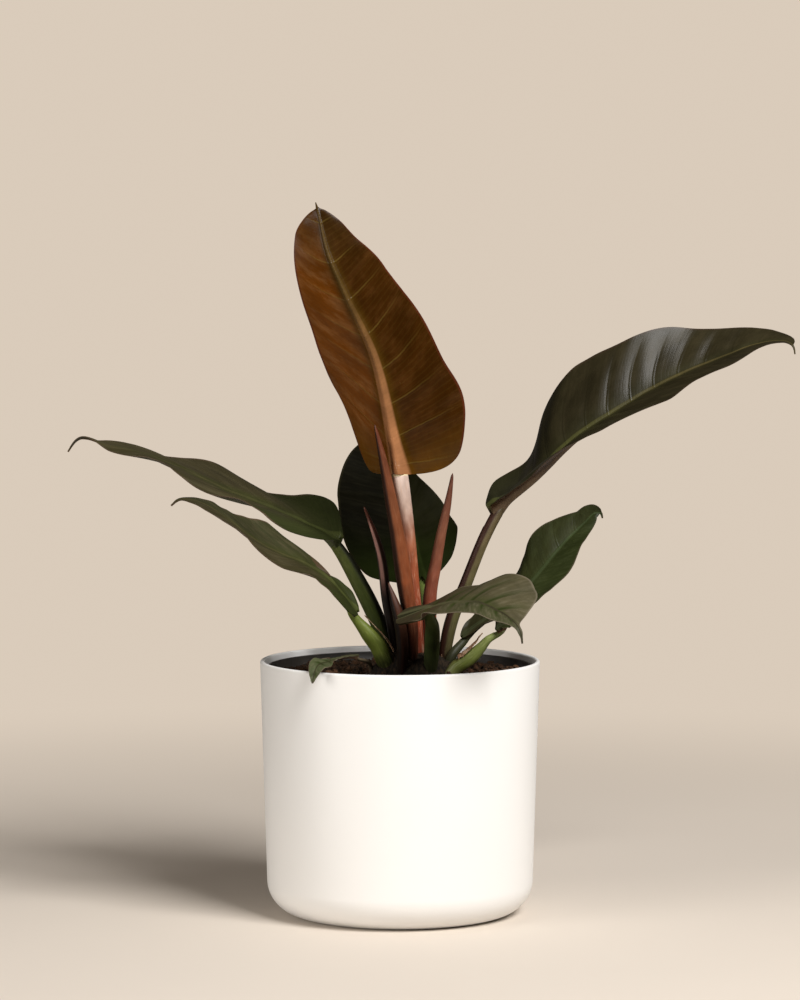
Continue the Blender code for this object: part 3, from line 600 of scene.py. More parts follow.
# a near-black blade: painted shade for a leaf that lies in the shadow of the leaves in front of it
paintedShadeLook = {
    **bronzeLook,
    "upperLeft": (0.0030, 0.0026, 0.0010), "upperRight": (0.006, 0.006, 0.0018),
    "upperNearRib": (0.007, 0.009, 0.002), "upperFoot": (0.008, 0.012, 0.002),
    "upperVein": (0.009, 0.009, 0.003), "upperStreak": (0.009, 0.008, 0.004),
    "upperRib": (0.014, 0.020, 0.004), "upperRibTip": (0.012, 0.014, 0.004),
    "hair": (0.010, 0.009, 0.004), "rim": (0.012, 0.010, 0.004),
    "roughness": 0.6, "specular": 0.03,
}
greenLook = {
    **bronzeLook,
    "glowReach": 0.22,
    "upperLeft": (0.024, 0.027, 0.008), "upperRight": (0.020, 0.026, 0.007),
    "upperNearRib": (0.028, 0.036, 0.011), "upperFoot": (0.024, 0.022, 0.009),
    "upperVein": (0.018, 0.024, 0.006), "upperStreak": (0.036, 0.044, 0.016),
    "upperRib": (0.036, 0.040, 0.018), "upperRibTip": (0.036, 0.050, 0.018),
    "hair": (0.03, 0.034, 0.015), "rim": (0.060, 0.050, 0.028),
    "roughness": 0.42, "specular": 0.1,
}
limpLook = {
    **bronzeLook,
    "veinWidth": 0.5, "veinReach": 1.1, "veinShow": 0.95, "glowReach": 0.3, "footReach": 0.4,
    "upperLeft": (0.064, 0.056, 0.027), "upperRight": (0.044, 0.046, 0.018),
    "upperNearRib": (0.050, 0.054, 0.018), "upperFoot": (0.034, 0.027, 0.012),
    "upperVein": (0.020, 0.030, 0.004), "upperStreak": (0.125, 0.108, 0.068),
    "upperRib": (0.070, 0.070, 0.032), "upperRibTip": (0.030, 0.026, 0.012),
    "underLeft": (0.080, 0.058, 0.034), "underRight": (0.080, 0.058, 0.034),
    "hair": (0.09, 0.08, 0.045), "rim": (0.125, 0.105, 0.070),
    "roughness": 0.55, "specular": 0.18,
}

# Each blade's values, its look and what differs from that look, its slot and the stalk's radius at
# the joint
blades = {
    "a": (leafA, copperLook, {}, "blade_back", 5.3),
    "b": (leafB, bronzeLook, {"underRib": (0.120, 0.080, 0.048), "roughness": 0.29, "specular": 0.13},
          "blade_dark", 4.0),
    "c": (leafC, duskLook, {"underRib": (0.060, 0.072, 0.024), "underLeft": (0.034, 0.034, 0.014),
                            "underRight": (0.034, 0.034, 0.014), "underNearRib": (0.040, 0.046, 0.016)},
          "blade_dark", 4.1),
    "d": (leafD, duskLook, {"underRib": (0.070, 0.090, 0.026), "upperRight": (0.032, 0.033, 0.012)},
          "blade_green", 2.6),
    "e": (leafE, paintedShadeLook, {}, "blade_dark", 3.0),
    "f": (leafF, greenLook, {"underRib": (0.040, 0.040, 0.018)}, "blade_green", 2.4),
    "g": (leafG, limpLook, {"underRib": (0.060, 0.062, 0.026)}, "blade_pale", 2.6),
    "h": (leafH, limpLook, {"upperLeft": (0.052, 0.066, 0.026), "upperRight": (0.052, 0.066, 0.026),
                            "upperNearRib": (0.050, 0.066, 0.022)}, "blade_pale", 0.9),
    "i": (leafI, greenLook, {}, "blade_green", 2.1),
}
for key, (leaf, look, changes, slotName, jointRadius) in blades.items():
    finish = bladeFinish("blade " + key, {**look, **changes}, leaf["pleats"][0])
    bladeMesh(key, leaf, finish, jointRadius)
print("blades made")


# Stalks: route from the crown, radius at even stations, how flat the upper side is, and where the
# flat side looks; "colours" run from the foot to the top, and the shaded side colour is painted shade
# on the side that its edge values part from the rest; "runOn" is how far the stalk runs on inside the
# blade's midrib
# the dark first stops of most stalks' "colours" are painted shade among the stalk feet at the crown
stalks = {
    "a": {"route": [(13.5, -3, 160), (10.6, -7, 197), (7.4, -13.5, 232), (5.4, -17.8, 255)],
          "radius": (4.2, 4.9, 5.2, 5.2, 5.3),
          "leaf": leafA, "runOn": 2.6, "flat": 0.16, "towards": (0, 1, 0), "slot": "stalk_red",
          "colours": [(0.0, (0.07, 0.010, 0.006)), (0.30, (0.24, 0.046, 0.019)),
                      (0.52, (0.27, 0.066, 0.026)), (0.68, (0.34, 0.115, 0.056)),
                      (0.86, (0.55, 0.400, 0.330)), (1.0, (0.60, 0.470, 0.410))],
          "streak": (0.55, 0.36, 0.25), "streakShow": 0.5, "roughness": 0.42, "specular": 0.25,
          "top": (0.72, 0.62, 0.38), "topFrom": 0.985},
    "b": {"route": [(29, 8, 160), (30.5, 6, 178), (34.3, 6, 197), (44.9, 8, 224.6), (57.8, 10.5, 256)],
          "radius": (4.0, 4.8, 4.5, 4.2, 4.1),
          "leaf": leafB, "flat": 0.12, "towards": (-1, 0, 0.3), "slot": "stalk_green",
          "colours": [(0.0, (0.035, 0.022, 0.010)), (0.4, (0.080, 0.074, 0.026)),
                      (0.75, (0.100, 0.076, 0.034)), (1.0, (0.085, 0.060, 0.030))],
          "streak": (0.15, 0.125, 0.060), "streakShow": 0.5, "roughness": 0.45, "specular": 0.25,
          "paintedShadeSide": (0.034, 0.013, 0.008), "paintedShadeEdge": (-0.2, 0.2)},
    "c": {"route": [(-4, 7, 160), (-8.2, 7, 181), (-16.2, 8, 201.5), (-26.9, 9, 223)],
          "radius": (4.6, 5.8, 6.2, 5.5, 4.1),
          "leaf": leafC, "flat": 0.14, "towards": (0.5, 0, 0.8), "slot": "stalk_green",
          "colours": [(0.0, (0.016, 0.018, 0.006)), (0.5, (0.038, 0.052, 0.009)),
                      (1.0, (0.072, 0.084, 0.018))],
          "streak": (0.100, 0.105, 0.030), "streakShow": 0.5, "roughness": 0.55, "specular": 0.12,
          "paintedShadeSide": (0.012, 0.013, 0.005), "paintedShadeEdge": (0.15, 0.6)},
    "d": {"route": [(-5, -8, 160), (-10.5, -10, 176), (-14, -11, 183), (-22, -14, 193)],
          "radius": (5.0, 6.8, 6.6, 5.6, 3.6, 2.6),
          "leaf": leafD, "flat": 0.2, "towards": (0.8, 0, 0.6), "slot": "stalk_bright",
          "colours": [(0.0, (0.010, 0.009, 0.004)), (0.22, (0.030, 0.036, 0.008)),
                      (0.38, (0.095, 0.120, 0.018)), (1.0, (0.130, 0.165, 0.030))],
          "streak": (0.22, 0.24, 0.07), "streakShow": 0.4, "roughness": 0.42, "specular": 0.3},
    "e": {"route": [(14, 11, 160), (17, 14, 190), (17.6, 22, 212)], "radius": (4.0, 3.8, 3.6, 3.0),
          "leaf": leafE, "flat": 0.14, "towards": (0, -1, 0.3), "slot": "stalk_green",
          "colours": [(0.0, (0.040, 0.050, 0.014)), (1.0, (0.150, 0.210, 0.040))],
          "streak": (0.12, 0.13, 0.06), "streakShow": 0.4, "roughness": 0.5, "specular": 0.5},
    "f": {"route": [(30, -2, 160), (34.5, -2, 175)], "radius": (3.2, 3.6, 3.2, 2.4),
          "leaf": leafF, "flat": 0.14, "towards": (-0.6, 0, 0.8), "slot": "stalk_green",
          "colours": [(0.0, (0.020, 0.020, 0.008)), (1.0, (0.038, 0.040, 0.018))],
          "streak": (0.07, 0.07, 0.035), "streakShow": 0.4, "roughness": 0.5, "specular": 0.2},
    "g": {"route": [(20, -13, 160), (21.5, -24, 184), (21.5, -42, 200)], "radius": (4.2, 5.2, 4.8, 2.6),
          "leaf": leafG, "flat": 0.14, "towards": (0, 1, 0.2), "slot": "stalk_green",
          "colours": [(0.0, (0.020, 0.022, 0.008)), (0.6, (0.040, 0.055, 0.014)),
                      (1.0, (0.060, 0.075, 0.022))],
          "streak": (0.08, 0.09, 0.04), "streakShow": 0.3, "roughness": 0.45, "specular": 0.2},
    "h": {"route": [(-18.5, -1.5, 160), (-20.5, -5.5, 170)], "radius": (1.5, 1.4, 1.2, 0.9),
          "leaf": leafH, "flat": 0.1, "towards": (0, 0, 1), "slot": "stalk_green",
          "colours": [(0.0, (0.05, 0.03, 0.015)), (1.0, (0.13, 0.10, 0.055))],
          "streak": (0.20, 0.16, 0.10), "streakShow": 0.5, "roughness": 0.7, "specular": 0.5},
    "i": {"route": [(31, -12, 160), (37.2, -12, 168.6), (45.8, -13, 174.5), (53.9, -14, 182),
                    (59.3, -15, 188)],
          "radius": (4.2, 5.3, 5.4, 4.8, 3.4, 2.4, 2.1),
          "leaf": leafI, "flat": 0.2, "towards": (-0.6, 0, 0.8), "slot": "stalk_bright",
          "colours": [(0.0, (0.30, 0.24, 0.15)), (0.10, (0.160, 0.165, 0.060)),
                      (0.25, (0.120, 0.145, 0.026)), (1.0, (0.200, 0.240, 0.070))],
          "streak": (0.34, 0.36, 0.16), "streakShow": 0.4, "roughness": 0.42, "specular": 0.5},
}
stem = {
    "rings": 90, "sides": 32,
    "under": 1.7,           # how far the stalk's top lies under the blade
    "behind": 0.35,         # and how far behind the joint, with a share of the blade's lobe
    "lobeShare": 0.028,
    "runOn": 4.0,
    "runUp": 0.4,
    "tuck": (1, 0.97, 0.9, 0.8, 0.65, 0.45),    # the last rings narrow inside the midrib
    "marginAt": 0.62,       # raised margins beside the flat side, as a cosine of the turn from it
    "marginWidth": 0.02,
    "marginHeight": 0.05,
}


def stalkRoute(spec, count):
    # ends in the foot of the leaf's midrib, under the blade
    joint, along, up, _, _ = ribFrame(spec["leaf"], np.zeros(1))
    under = stem["under"] + spec["radius"][-1]
    back = stem["behind"] + stem["lobeShare"] * spec["leaf"]["lobe"]
    end = joint[0] - up[0] * under - along[0] * back
    runOn = spec.get("runOn", stem["runOn"])
    route = spec["route"] + [tuple(end), tuple(end + (along[0] + stem["runUp"] * up[0]) * runOn)]
    return smoothRoute(route, count)[0]


def carriedFrames(route, towards):
    # side and front vectors carried along a route without twisting
    tangents = unit(np.gradient(route, axis=0))
    side = np.asarray(towards, float)
    sides = []
    for tangent in tangents:
        side = side - tangent * (side @ tangent)
        side = side / np.linalg.norm(side)
        sides.append(side)
    sides = np.array(sides)
    return tangents, sides, np.cross(tangents, sides)


def tubeMesh(name, replaces, route, radii, outline, towards, finish, squareTop=None):
    # the foot ends level, and the top square to the given direction
    rings, sides = len(route), stem["sides"]
    tangents, near, far = carriedFrames(route, towards)
    angles = 2 * math.pi * np.arange(sides) / sides
    points, place, reach = [], [], []
    travelled = np.concatenate([[0], np.cumsum(np.linalg.norm(np.diff(route, axis=0), axis=1))])
    for i in range(rings):
        share = i / (rings - 1)
        form = outline(angles, share)
        side, other = near[i], far[i]
        if i == 0:
            side = unit(side * (1, 1, 0))
            other = np.cross((0, 0, 1.0), side)
        if squareTop is not None and i == rings - 1:
            side = unit(side - squareTop * (side @ squareTop))
            other = np.cross(squareTop, side)
        across = radii[i] * form * np.cos(angles)
        over = radii[i] * form * np.sin(angles)
        points.append(route[i] + across[:, None] * side + over[:, None] * other)
        place.append(np.stack([np.full(sides, share), angles / (2 * math.pi), np.cos(angles)], 1))
        reach.append(np.stack([across, over, np.full(sides, travelled[i])], 1))
    faces = gridFaces(rings, sides, closed=True)
    faces.append(tuple(range(sides - 1, -1, -1)))
    faces.append(tuple(range((rings - 1) * sides, rings * sides)))
    attributes = {"stalkPlace": np.concatenate(place), "stalkReach": np.concatenate(reach)}
    makePiece(name, np.concatenate(points), faces, finish, attributes, replaces)


stalkSkin = {
    # size, detail, roughness and stretch of each pattern, in millimetres across and along
    "streaks": (1.3, 3.0, 0.6, (1.0, 1.0, 0.09)),
    "blotch": (0.16, 3.0, 0.5, (1.0, 1.0, 0.5)),
    "flecks": (2.6, 2.0, 0.5, (1.0, 1.0, 0.35)),
    "wander": 0.16,             # how unevenly one colour passes into the next
    "flecksFrom": (0.66, 0.74),
    "fleckShow": 0.35,
    "marginFrom": (0.40, 0.47),
    "topFade": 0.01,
    "shade": (0.80, 1.18),
    "roughSwing": 0.2,
    "dentDepth": 0.00025,
    "dentStrength": 0.55,
}


def stalkFinish(name, look):
    # stalkPlace holds the share of the length, the turn and the cosine towards the flat side
    material, tree, shader = newFinish(name)
    skin = stalkSkin
    share, turn, facing = split(tree, attribute(tree, "stalkPlace"))
    reach = attribute(tree, "stalkReach")
    streaks = speckle(tree, reach, *skin["streaks"])
    blotch = speckle(tree, reach, *skin["blotch"])
    flecks = speckle(tree, reach, *skin["flecks"])

    ramp = addNode(tree, "ValToRGB")
    stops = look["colours"]
    while len(ramp.color_ramp.elements) < len(stops):
        ramp.color_ramp.elements.new(0.5)
    for element, (at, colour) in zip(ramp.color_ramp.elements, stops):
        element.position = at
        element.color = (*colour, 1.0)
    feed(tree, ramp.inputs[0], swing(tree, blotch, skin["wander"], share))
    lines = reckon(tree, "MULTIPLY", ease(tree, streaks, 0.50, 0.72), look["streakShow"])
    colour = mixColours(tree, lines, ramp.outputs[0], look["streak"])
    # painted shade: one side of the stalk takes a darker colour
    if "paintedShadeSide" in look:
        colour = mixColours(tree, ease(tree, facing, *look["paintedShadeEdge"]), colour, look["paintedShadeSide"])
    if "margin" in look:
        # a pale stripe along the rolled leaf's outer margin, over part of its length, painted as the
        # highlight that runs along it
        phase = reckon(tree, "MULTIPLY_ADD", share, look["turns"], reckon(tree, "ADD", turn, look["seam"]))
        margin = ease(tree, fromMiddle(tree, phase), *skin["marginFrom"])
        begin, full, fade, stop = look["marginAt"]
        margin = reckon(tree, "MULTIPLY", margin, ease(tree, share, begin, full))
        margin = reckon(tree, "MULTIPLY", margin, ease(tree, share, stop, fade))
        colour = mixColours(tree, margin, colour, look["margin"])
    dots = reckon(tree, "MULTIPLY", ease(tree, flecks, *skin["flecksFrom"]), skin["fleckShow"])
    colour = mixColours(tree, dots, colour, look["streak"])
    if "top" in look:
        top = ease(tree, share, look["topFrom"], look["topFrom"] + skin["topFade"])
        colour = mixColours(tree, top, colour, look["top"])
    shade = ease(tree, blotch, 0.25, 0.75, *skin["shade"])
    feed(tree, shader.inputs["Base Color"], shaded(tree, colour, shade))

    feed(tree, shader.inputs["Roughness"], swing(tree, blotch, skin["roughSwing"], look["roughness"]))
    shader.inputs["Specular IOR Level"].default_value = look["specular"]
    height = reckon(tree, "MULTIPLY_ADD", streaks, 0.8, reckon(tree, "MULTIPLY", flecks, 0.3))
    dent(tree, shader, height, skin["dentDepth"], skin["dentStrength"])
    return material


def halfRound(flat):
    # a round section with one flattened side and slightly raised margins beside it
    def outline(angles, share):
        near = np.clip(np.cos(angles), 0, 1)
        margin = np.exp(-((np.cos(angles) - stem["marginAt"]) ** 2) / stem["marginWidth"])
        strength = flat * math.sin(math.pi * (0.15 + share)) ** 0.3 if share < 0.85 else flat
        return 1 - strength * near**2 + stem["marginHeight"] * margin
    return outline


for key, spec in stalks.items():
    route = stalkRoute(spec, stem["rings"])
    radii = eased(spec["radius"], np.linspace(0, 1, stem["rings"]))
    top = unit(np.array(spec["leaf"].get("cut", ribFrame(spec["leaf"], np.zeros(1))[1][0]), float))
    finish = stalkFinish("stalk " + key, spec)
    if "runOn" not in spec:
        radii[-len(stem["tuck"]):] *= stem["tuck"]
    tubeMesh("leafstalk_" + key, "stalk_" + key, route, radii, halfRound(spec["flat"]), spec["towards"],
             finish, squareTop=top)
print("stalks made")


# Rolled young leaves: "seam" is where the outer margin lies, "turns" how far it winds on the way up,
# and "marginAt" where the pale margin stripe, a painted highlight, begins, is full, fades and ends
# the dark first stops of the "colours" are painted shade among the stalk feet at the crown
spears = {
    "tall": {"route": [(6.5, -9.5, 160), (8.0, -15.5, 185), (7.2, -18.5, 201), (4.8, -21, 217),
                       (2.4, -23.5, 233), (-0.9, -26.3, 255), (-4.8, -30, 277), (-11, -34, 309),
                       (-17, -37, 334.5)],
             "radius": (3.8, 4.4, 5.1, 5.6, 4.8, 4.1, 2.8, 0.7), "seam": 0.62, "turns": 0.12,
             "colours": [(0.0, (0.020, 0.008, 0.005)), (0.22, (0.070, 0.018, 0.008)),
                         (0.40, (0.210, 0.056, 0.020)), (0.65, (0.175, 0.056, 0.022)),
                         (1.0, (0.085, 0.022, 0.011))],
             "streak": (0.25, 0.11, 0.055), "streakShow": 0.4, "roughness": 0.42, "specular": 0.18,
             "paintedShadeSide": (0.022, 0.007, 0.003), "paintedShadeEdge": (0.1, 0.55)},
    "right": {"route": [(22.2, 1.8, 160), (20, 1, 195), (20.8, 1, 219), (24, 2, 236), (27.8, 2.5, 257),
                        (32.4, 3, 278.5), (35.7, 4, 299.4)],
              "radius": (4.2, 5.0, 4.8, 4.2, 3.5, 2.6, 0.8), "seam": 0.70, "turns": 0.1,
              "colours": [(0.0, (0.080, 0.014, 0.008)), (0.25, (0.190, 0.042, 0.022)),
                          (0.7, (0.180, 0.064, 0.034)), (1.0, (0.075, 0.022, 0.013))],
              "streak": (0.26, 0.12, 0.07), "streakShow": 0.4, "roughness": 0.45, "specular": 0.2},
    # near black over most of its length: painted shade among the stalks
    "dark": {"route": [(1, -1, 160), (-4, -2, 187), (-9, -3, 214), (-13, -5, 245), (-24.2, -9, 277.4)],
             "radius": (3.0, 3.4, 3.4, 2.8, 0.7), "seam": 0.75, "turns": 0.1,
             "colours": [(0.0, (0.006, 0.004, 0.003)), (0.5, (0.010, 0.005, 0.003)),
                         (0.8, (0.025, 0.008, 0.005)), (1.0, (0.120, 0.035, 0.020))],
             "streak": (0.06, 0.025, 0.018), "streakShow": 0.3, "roughness": 0.3, "specular": 0.4,
             # the pale margin stripe is a painted highlight
             "margin": (0.50, 0.26, 0.22), "marginAt": (0.45, 0.60, 0.86, 0.95)},
    "short": {"route": [(1, -16.5, 160), (1.6, -23.2, 188), (-0.8, -25.6, 204), (-4.6, -25.4, 217),
                        (-8, -24, 227.4)],
              "radius": (3.0, 3.8, 4.0, 3.4, 0.7), "seam": 0.7, "turns": 0.05,
              "colours": [(0.0, (0.012, 0.006, 0.004)), (0.6, (0.040, 0.014, 0.007)),
                          (1.0, (0.080, 0.030, 0.017))],
              "streak": (0.08, 0.034, 0.018), "streakShow": 0.25, "roughness": 0.45, "specular": 0.15,
              "paintedShadeSide": (0.010, 0.006, 0.004), "paintedShadeEdge": (0.0, 0.4)},
}
roll = {
    "inside": 0.965,        # share of the radius just inside the outer margin
    "step": 0.075,          # and how high the margin stands above it
    "pointFrom": 60,        # the point is one part in this many of the length
    "point": 0.05,
    "towards": (-1, 0, 0),
}


def rolled(seam, turns):
    # the leaf is rolled on itself, so its outer margin stands as a low step along one side
    def outline(angles, share):
        turn = (angles / (2 * math.pi) + seam + turns * share) % 1.0
        return roll["inside"] + roll["step"] * turn
    return outline


for key, spec in spears.items():
    route = smoothRoute(spec["route"], stem["rings"])[0]
    share = np.linspace(0, 1, stem["rings"])
    pointed = np.sqrt(np.clip((1 - share) * roll["pointFrom"], roll["point"], 1))
    radii = eased(spec["radius"], share) * pointed
    outline = rolled(spec["seam"], spec["turns"])
    finish = stalkFinish("spear " + key, spec)
    tubeMesh("rolled_leaf_" + key, "spear_" + key, route, radii, outline, roll["towards"],
             finish)
print("rolled leaves made")


# Dried sheath scales against the stalks: "from" and "to" are shares of the stalk's length, "middle"
# and "half" are degrees round it, and "peel" is how far the upper end stands off
sheaths = {
    "i": {"from": 0.30, "to": 0.74, "middle": -12, "half": 42, "peel": 2.2, "seed": 106},
    "d": {"from": 0.30, "to": 0.80, "middle": 176, "half": 34, "peel": 1.6, "seed": 101},
    "b": {"from": 0.03, "to": 0.13, "middle": -72, "half": 12, "peel": 0.4, "seed": 99},
}
scale = {
    "rings": 40, "columns": 14, "thickness": 0.3,
    "clear": 1.06, "gap": 0.25,                     # its inner radius over the stalk's
    "narrowing": 0.85,                              # how much narrower the upper end is
    "tears": 24, "fray": 0.5, "raggedness": 0.25,
    "curl": 0.5, "evenCurl": 0.4,                   # how far its edges stand off
    "brown": (0.130, 0.060, 0.028), "straw": (0.34, 0.20, 0.11), "bleached": (0.46, 0.33, 0.22),
    "roughness": 0.85,
}


def sheathFinish():
    material, tree, shader = newFinish("dry sheath")
    where = objectPlace(tree)
    fibres = speckle(tree, where, 900.0, 3.0, 0.6, (1.0, 1.0, 0.12))
    patches = speckle(tree, where, 160.0, 3.0, 0.6)
    colour = mixColours(tree, ease(tree, fibres, 0.35, 0.65), scale["brown"], scale["straw"])
    colour = mixColours(tree, ease(tree, patches, 0.55, 0.70), colour, scale["bleached"])
    feed(tree, shader.inputs["Base Color"], colour)
    shader.inputs["Roughness"].default_value = scale["roughness"]
    dent(tree, shader, fibres, 0.0003, 0.7)
    return material


def sheathMesh(key, spec, finish):
    host = stalks[key]
    route = stalkRoute(host, 101)
    tangents = unit(np.gradient(route, axis=0))
    along = np.linspace(0, 1, 101)
    rings, columns = scale["rings"], scale["columns"]
    share = np.linspace(spec["from"], spec["to"], rings)
    rng = np.random.default_rng(spec["seed"])
    fray = eased(rng.uniform(-1, 1, scale["tears"]), np.linspace(0, 1, rings)) * scale["fray"]
    points = []
    for extra in (0.0, scale["thickness"]):
        for i, at in enumerate(share):
            climb = i / (rings - 1)
            centre = np.array([np.interp(at, along, route[:, k]) for k in range(3)])
            tangent = unit([np.interp(at, along, tangents[:, k]) for k in range(3)])
            side = unit(np.cross(tangent, (0.0, 1.0, 0.0)))
            other = np.cross(side, tangent)
            half = spec["half"] * (1 - scale["narrowing"] * climb**2) * (1 + scale["raggedness"] * fray[i])
            for k in range(columns):
                turn = 2 * k / (columns - 1) - 1
                radius = eased(host["radius"], at) * scale["clear"] + scale["gap"] + extra
                curl = scale["curl"] * abs(turn) ** 3 * (scale["evenCurl"] + abs(fray[i]))
                radius += spec["peel"] * climb**3 + curl
                angle = math.radians(spec["middle"] + half * turn)
                points.append(centre + radius * (math.cos(angle) * side + math.sin(angle) * other))
    faces = gridFaces(rings, columns, flipped=True) + gridFaces(rings, columns, rings * columns)
    faces += rimFaces(rings, columns, inward=True)
    makePiece("dry_scale_" + key, points, faces, finish, None, "sheath_" + key)


driedSheath = sheathFinish()
for key, spec in sheaths.items():
    sheathMesh(key, spec, driedSheath)
print("dry sheaths made")


# Cover pot and nursery pot, turned round the upright axis
pot = {
    "height": 172.7, "rimRadius": 95.0, "baseRadius": 89.9, "rounding": 23.0, "wall": 3.0, "floor": 4.0,
    "steps": 192, "colour": (0.825, 0.822, 0.812), "cloud": (0.80, 0.79, 0.77), "cloudShow": 0.45,
    "roughness": 0.42, "roughSwing": 0.12,
}
nurseryPot = {
    "rimRadius": 90.0, "floorRadius": 64.0, "rimHeight": 169.0, "wall": 1.3, "gap": 0.35, "steps": 144,
    "bandHeight": 11.5,     # the rim's band stands out over this height
    "bandDepth": 0.8,       # by twice this much
    "bandFoot": (1.1, 0.5), # and runs out below it, outside and inside
    "footChamfer": (2.0, 0.6), "footFillet": 1.0,
    "colour": (0.024, 0.021, 0.017), "scuffed": (0.045, 0.038, 0.030), "dusty": (0.09, 0.06, 0.04),
    "roughness": (0.4, 0.65),
}


def arc(centre, radius, start, end, count):
    angles = [math.radians(start + (end - start) * k / (count - 1)) for k in range(count)]
    return [(centre[0] + radius * math.cos(a), centre[1] + radius * math.sin(a)) for a in angles]


def turnedMesh(name, replaces, profile, steps, finish):
    angles = 2 * math.pi * np.arange(steps) / steps
    points = [np.array([[0, 0, profile[0][1]]])]
    for radius, height in profile[1:-1]:
        circle = [radius * np.cos(angles), radius * np.sin(angles), np.full(steps, height)]
        points.append(np.stack(circle, 1))
    points.append(np.array([[0, 0, profile[-1][1]]]))
    points = np.concatenate(points)
    rings = len(profile) - 2
    faces = gridFaces(rings, steps, 1, closed=True) + fanFaces(rings, steps)
    return makePiece(name, points, faces, finish, None, replaces)


def potFinish():
    material, tree, shader = newFinish("satin white pot")
    where = objectPlace(tree)
    cloud = speckle(tree, where, 9.0, 3.0, 0.5)
    grain = speckle(tree, where, 900.0, 2.0, 0.5)
    clouded = ease(tree, cloud, 0.35, 0.75, 0.0, pot["cloudShow"])
    feed(tree, shader.inputs["Base Color"], mixColours(tree, clouded, pot["colour"], pot["cloud"]))
    feed(tree, shader.inputs["Roughness"], swing(tree, cloud, pot["roughSwing"], pot["roughness"]))
    dent(tree, shader, grain, 0.00006, 0.5)
    return material


def nurseryFinish():
    material, tree, shader = newFinish("dark moulded pot")
    where = objectPlace(tree)
    scuff = speckle(tree, where, 120.0, 4.0, 0.6)
    dust = speckle(tree, where, 700.0, 2.0, 0.6)
    colour = mixColours(tree, ease(tree, scuff, 0.5, 0.75), nurseryPot["colour"], nurseryPot["scuffed"])
    colour = mixColours(tree, ease(tree, dust, 0.66, 0.72), colour, nurseryPot["dusty"])
    feed(tree, shader.inputs["Base Color"], colour)
    feed(tree, shader.inputs["Roughness"], ease(tree, scuff, 0.3, 0.7, *nurseryPot["roughness"]))
    dent(tree, shader, scuff, 0.0002, 0.3)
    return material


def makePot():
    slope = (pot["rimRadius"] - pot["baseRadius"]) / pot["height"]
    taper = math.degrees(math.atan(slope))
    rounding = pot["rounding"]
    inner = rounding - pot["wall"]
    reach = pot["baseRadius"] + slope * rounding - rounding / math.cos(math.radians(taper))
    lip = pot["wall"] / 2
    profile = [(0, 0)] + arc((reach, rounding), rounding, -90, -taper, 24)
    profile += arc((pot["rimRadius"] - lip, pot["height"] - lip), lip, 0, 180, 13)
    profile += arc((reach, pot["floor"] + inner), inner, -taper, -90, 12) + [(0, pot["floor"])]
    turnedMesh("white_pot", "cover_pot", profile, pot["steps"], potFinish())


def makeNurseryPot():
    base = pot["floor"] + nurseryPot["gap"]
    top, rim, wall = nurseryPot["rimHeight"], nurseryPot["rimRadius"], nurseryPot["wall"]
    floorRadius, fillet = nurseryPot["floorRadius"], nurseryPot["footFillet"]
    chamferWidth, chamferHeight = nurseryPot["footChamfer"]
    band, depth = nurseryPot["bandHeight"], nurseryPot["bandDepth"]
    outside, inside = nurseryPot["bandFoot"]
    bead = wall / 2
    profile = [(0, base), (floorRadius - chamferWidth, base), (floorRadius, base + chamferHeight)]
    profile += [(rim - 2 * depth, top - band - outside)] + arc((rim - depth, top - band), depth, -60, 0, 4)
    profile += arc((rim - bead, top - bead), bead, 0, 180, 9) + [(rim - wall, top - band - inside)]
    profile += [(rim - 2 * depth - wall, top - band - outside), (floorRadius - wall, base + wall + fillet)]
    profile += [(floorRadius - wall - fillet, base + wall), (0, base + wall)]
    turnedMesh("growing_pot", "nursery_pot", profile, nurseryPot["steps"], nurseryFinish())


makePot()
makeNurseryPot()
print("pots made")


# Soil and the short stem
soil = {
    "height": 161.5, "topRadius": 86.0, "bottomRadius": 62.2, "base": 6.0, "rings": 70, "steps": 220,
    "relief": 1.5, "rise": 1.8,
    "lumps": ((17, 3.1, 1.3), (6.5, 9.2, 1.2), (2.4, 5.7, 0.8)),      # size, seed and height of each
    "wet": (0.014, 0.009, 0.005), "dry": (0.072, 0.034, 0.015), "bark": (0.150, 0.068, 0.032),
    # name, count, rounding, smallest and largest radius, and seed
    "loose": (("soil_chunks", 900, 2, 0.9, 3.4, 7), ("soil_crumbs", 2600, 1, 0.4, 1.3, 8)),
}
crown = {
    "centre": (9.0, -3.5), "radii": (32.0, 20.5), "foot": 138.0, "waist": 158.5, "top": 178.0,
    "rings": 46, "lowerRings": 8, "steps": 120, "footShare": 0.6,
    "knobs": ((7.0, 2.2, 3.0), (2.2, 6.2, 1.2)),
    # the near-black "dark" colour is partly the stem's own and partly painted shade among the stalk feet
    "dark": (0.008, 0.006, 0.004), "fibre": (0.035, 0.022, 0.012), "moss": (0.020, 0.022, 0.010),
}


def bumpiness(x, y, lumps):
    return sum(mathNoise.noise(Vector((x / size, y / size, seed))) * height for size, seed, height in lumps)


def soilHeight(x, y):
    rise = soil["rise"] * min(1.0, math.hypot(x, y) / soil["topRadius"]) ** 4
    return soil["height"] + soil["relief"] * bumpiness(x, y, soil["lumps"]) + rise


def soilFinish():
    material, tree, shader = newFinish("peat and bark")
    where = objectPlace(tree)
    patches = speckle(tree, where, 160.0, 4.0, 0.6)
    grains = speckle(tree, where, 700.0, 4.0, 0.65)
    colour = mixColours(tree, ease(tree, patches, 0.35, 0.65), soil["wet"], soil["dry"])
    colour = mixColours(tree, ease(tree, grains, 0.55, 0.72), colour, soil["bark"])
    feed(tree, shader.inputs["Base Color"], colour)
    shader.inputs["Roughness"].default_value = 0.93
    shader.inputs["Specular IOR Level"].default_value = 0.25
    dent(tree, shader, grains, 0.0012, 0.9)
    return material


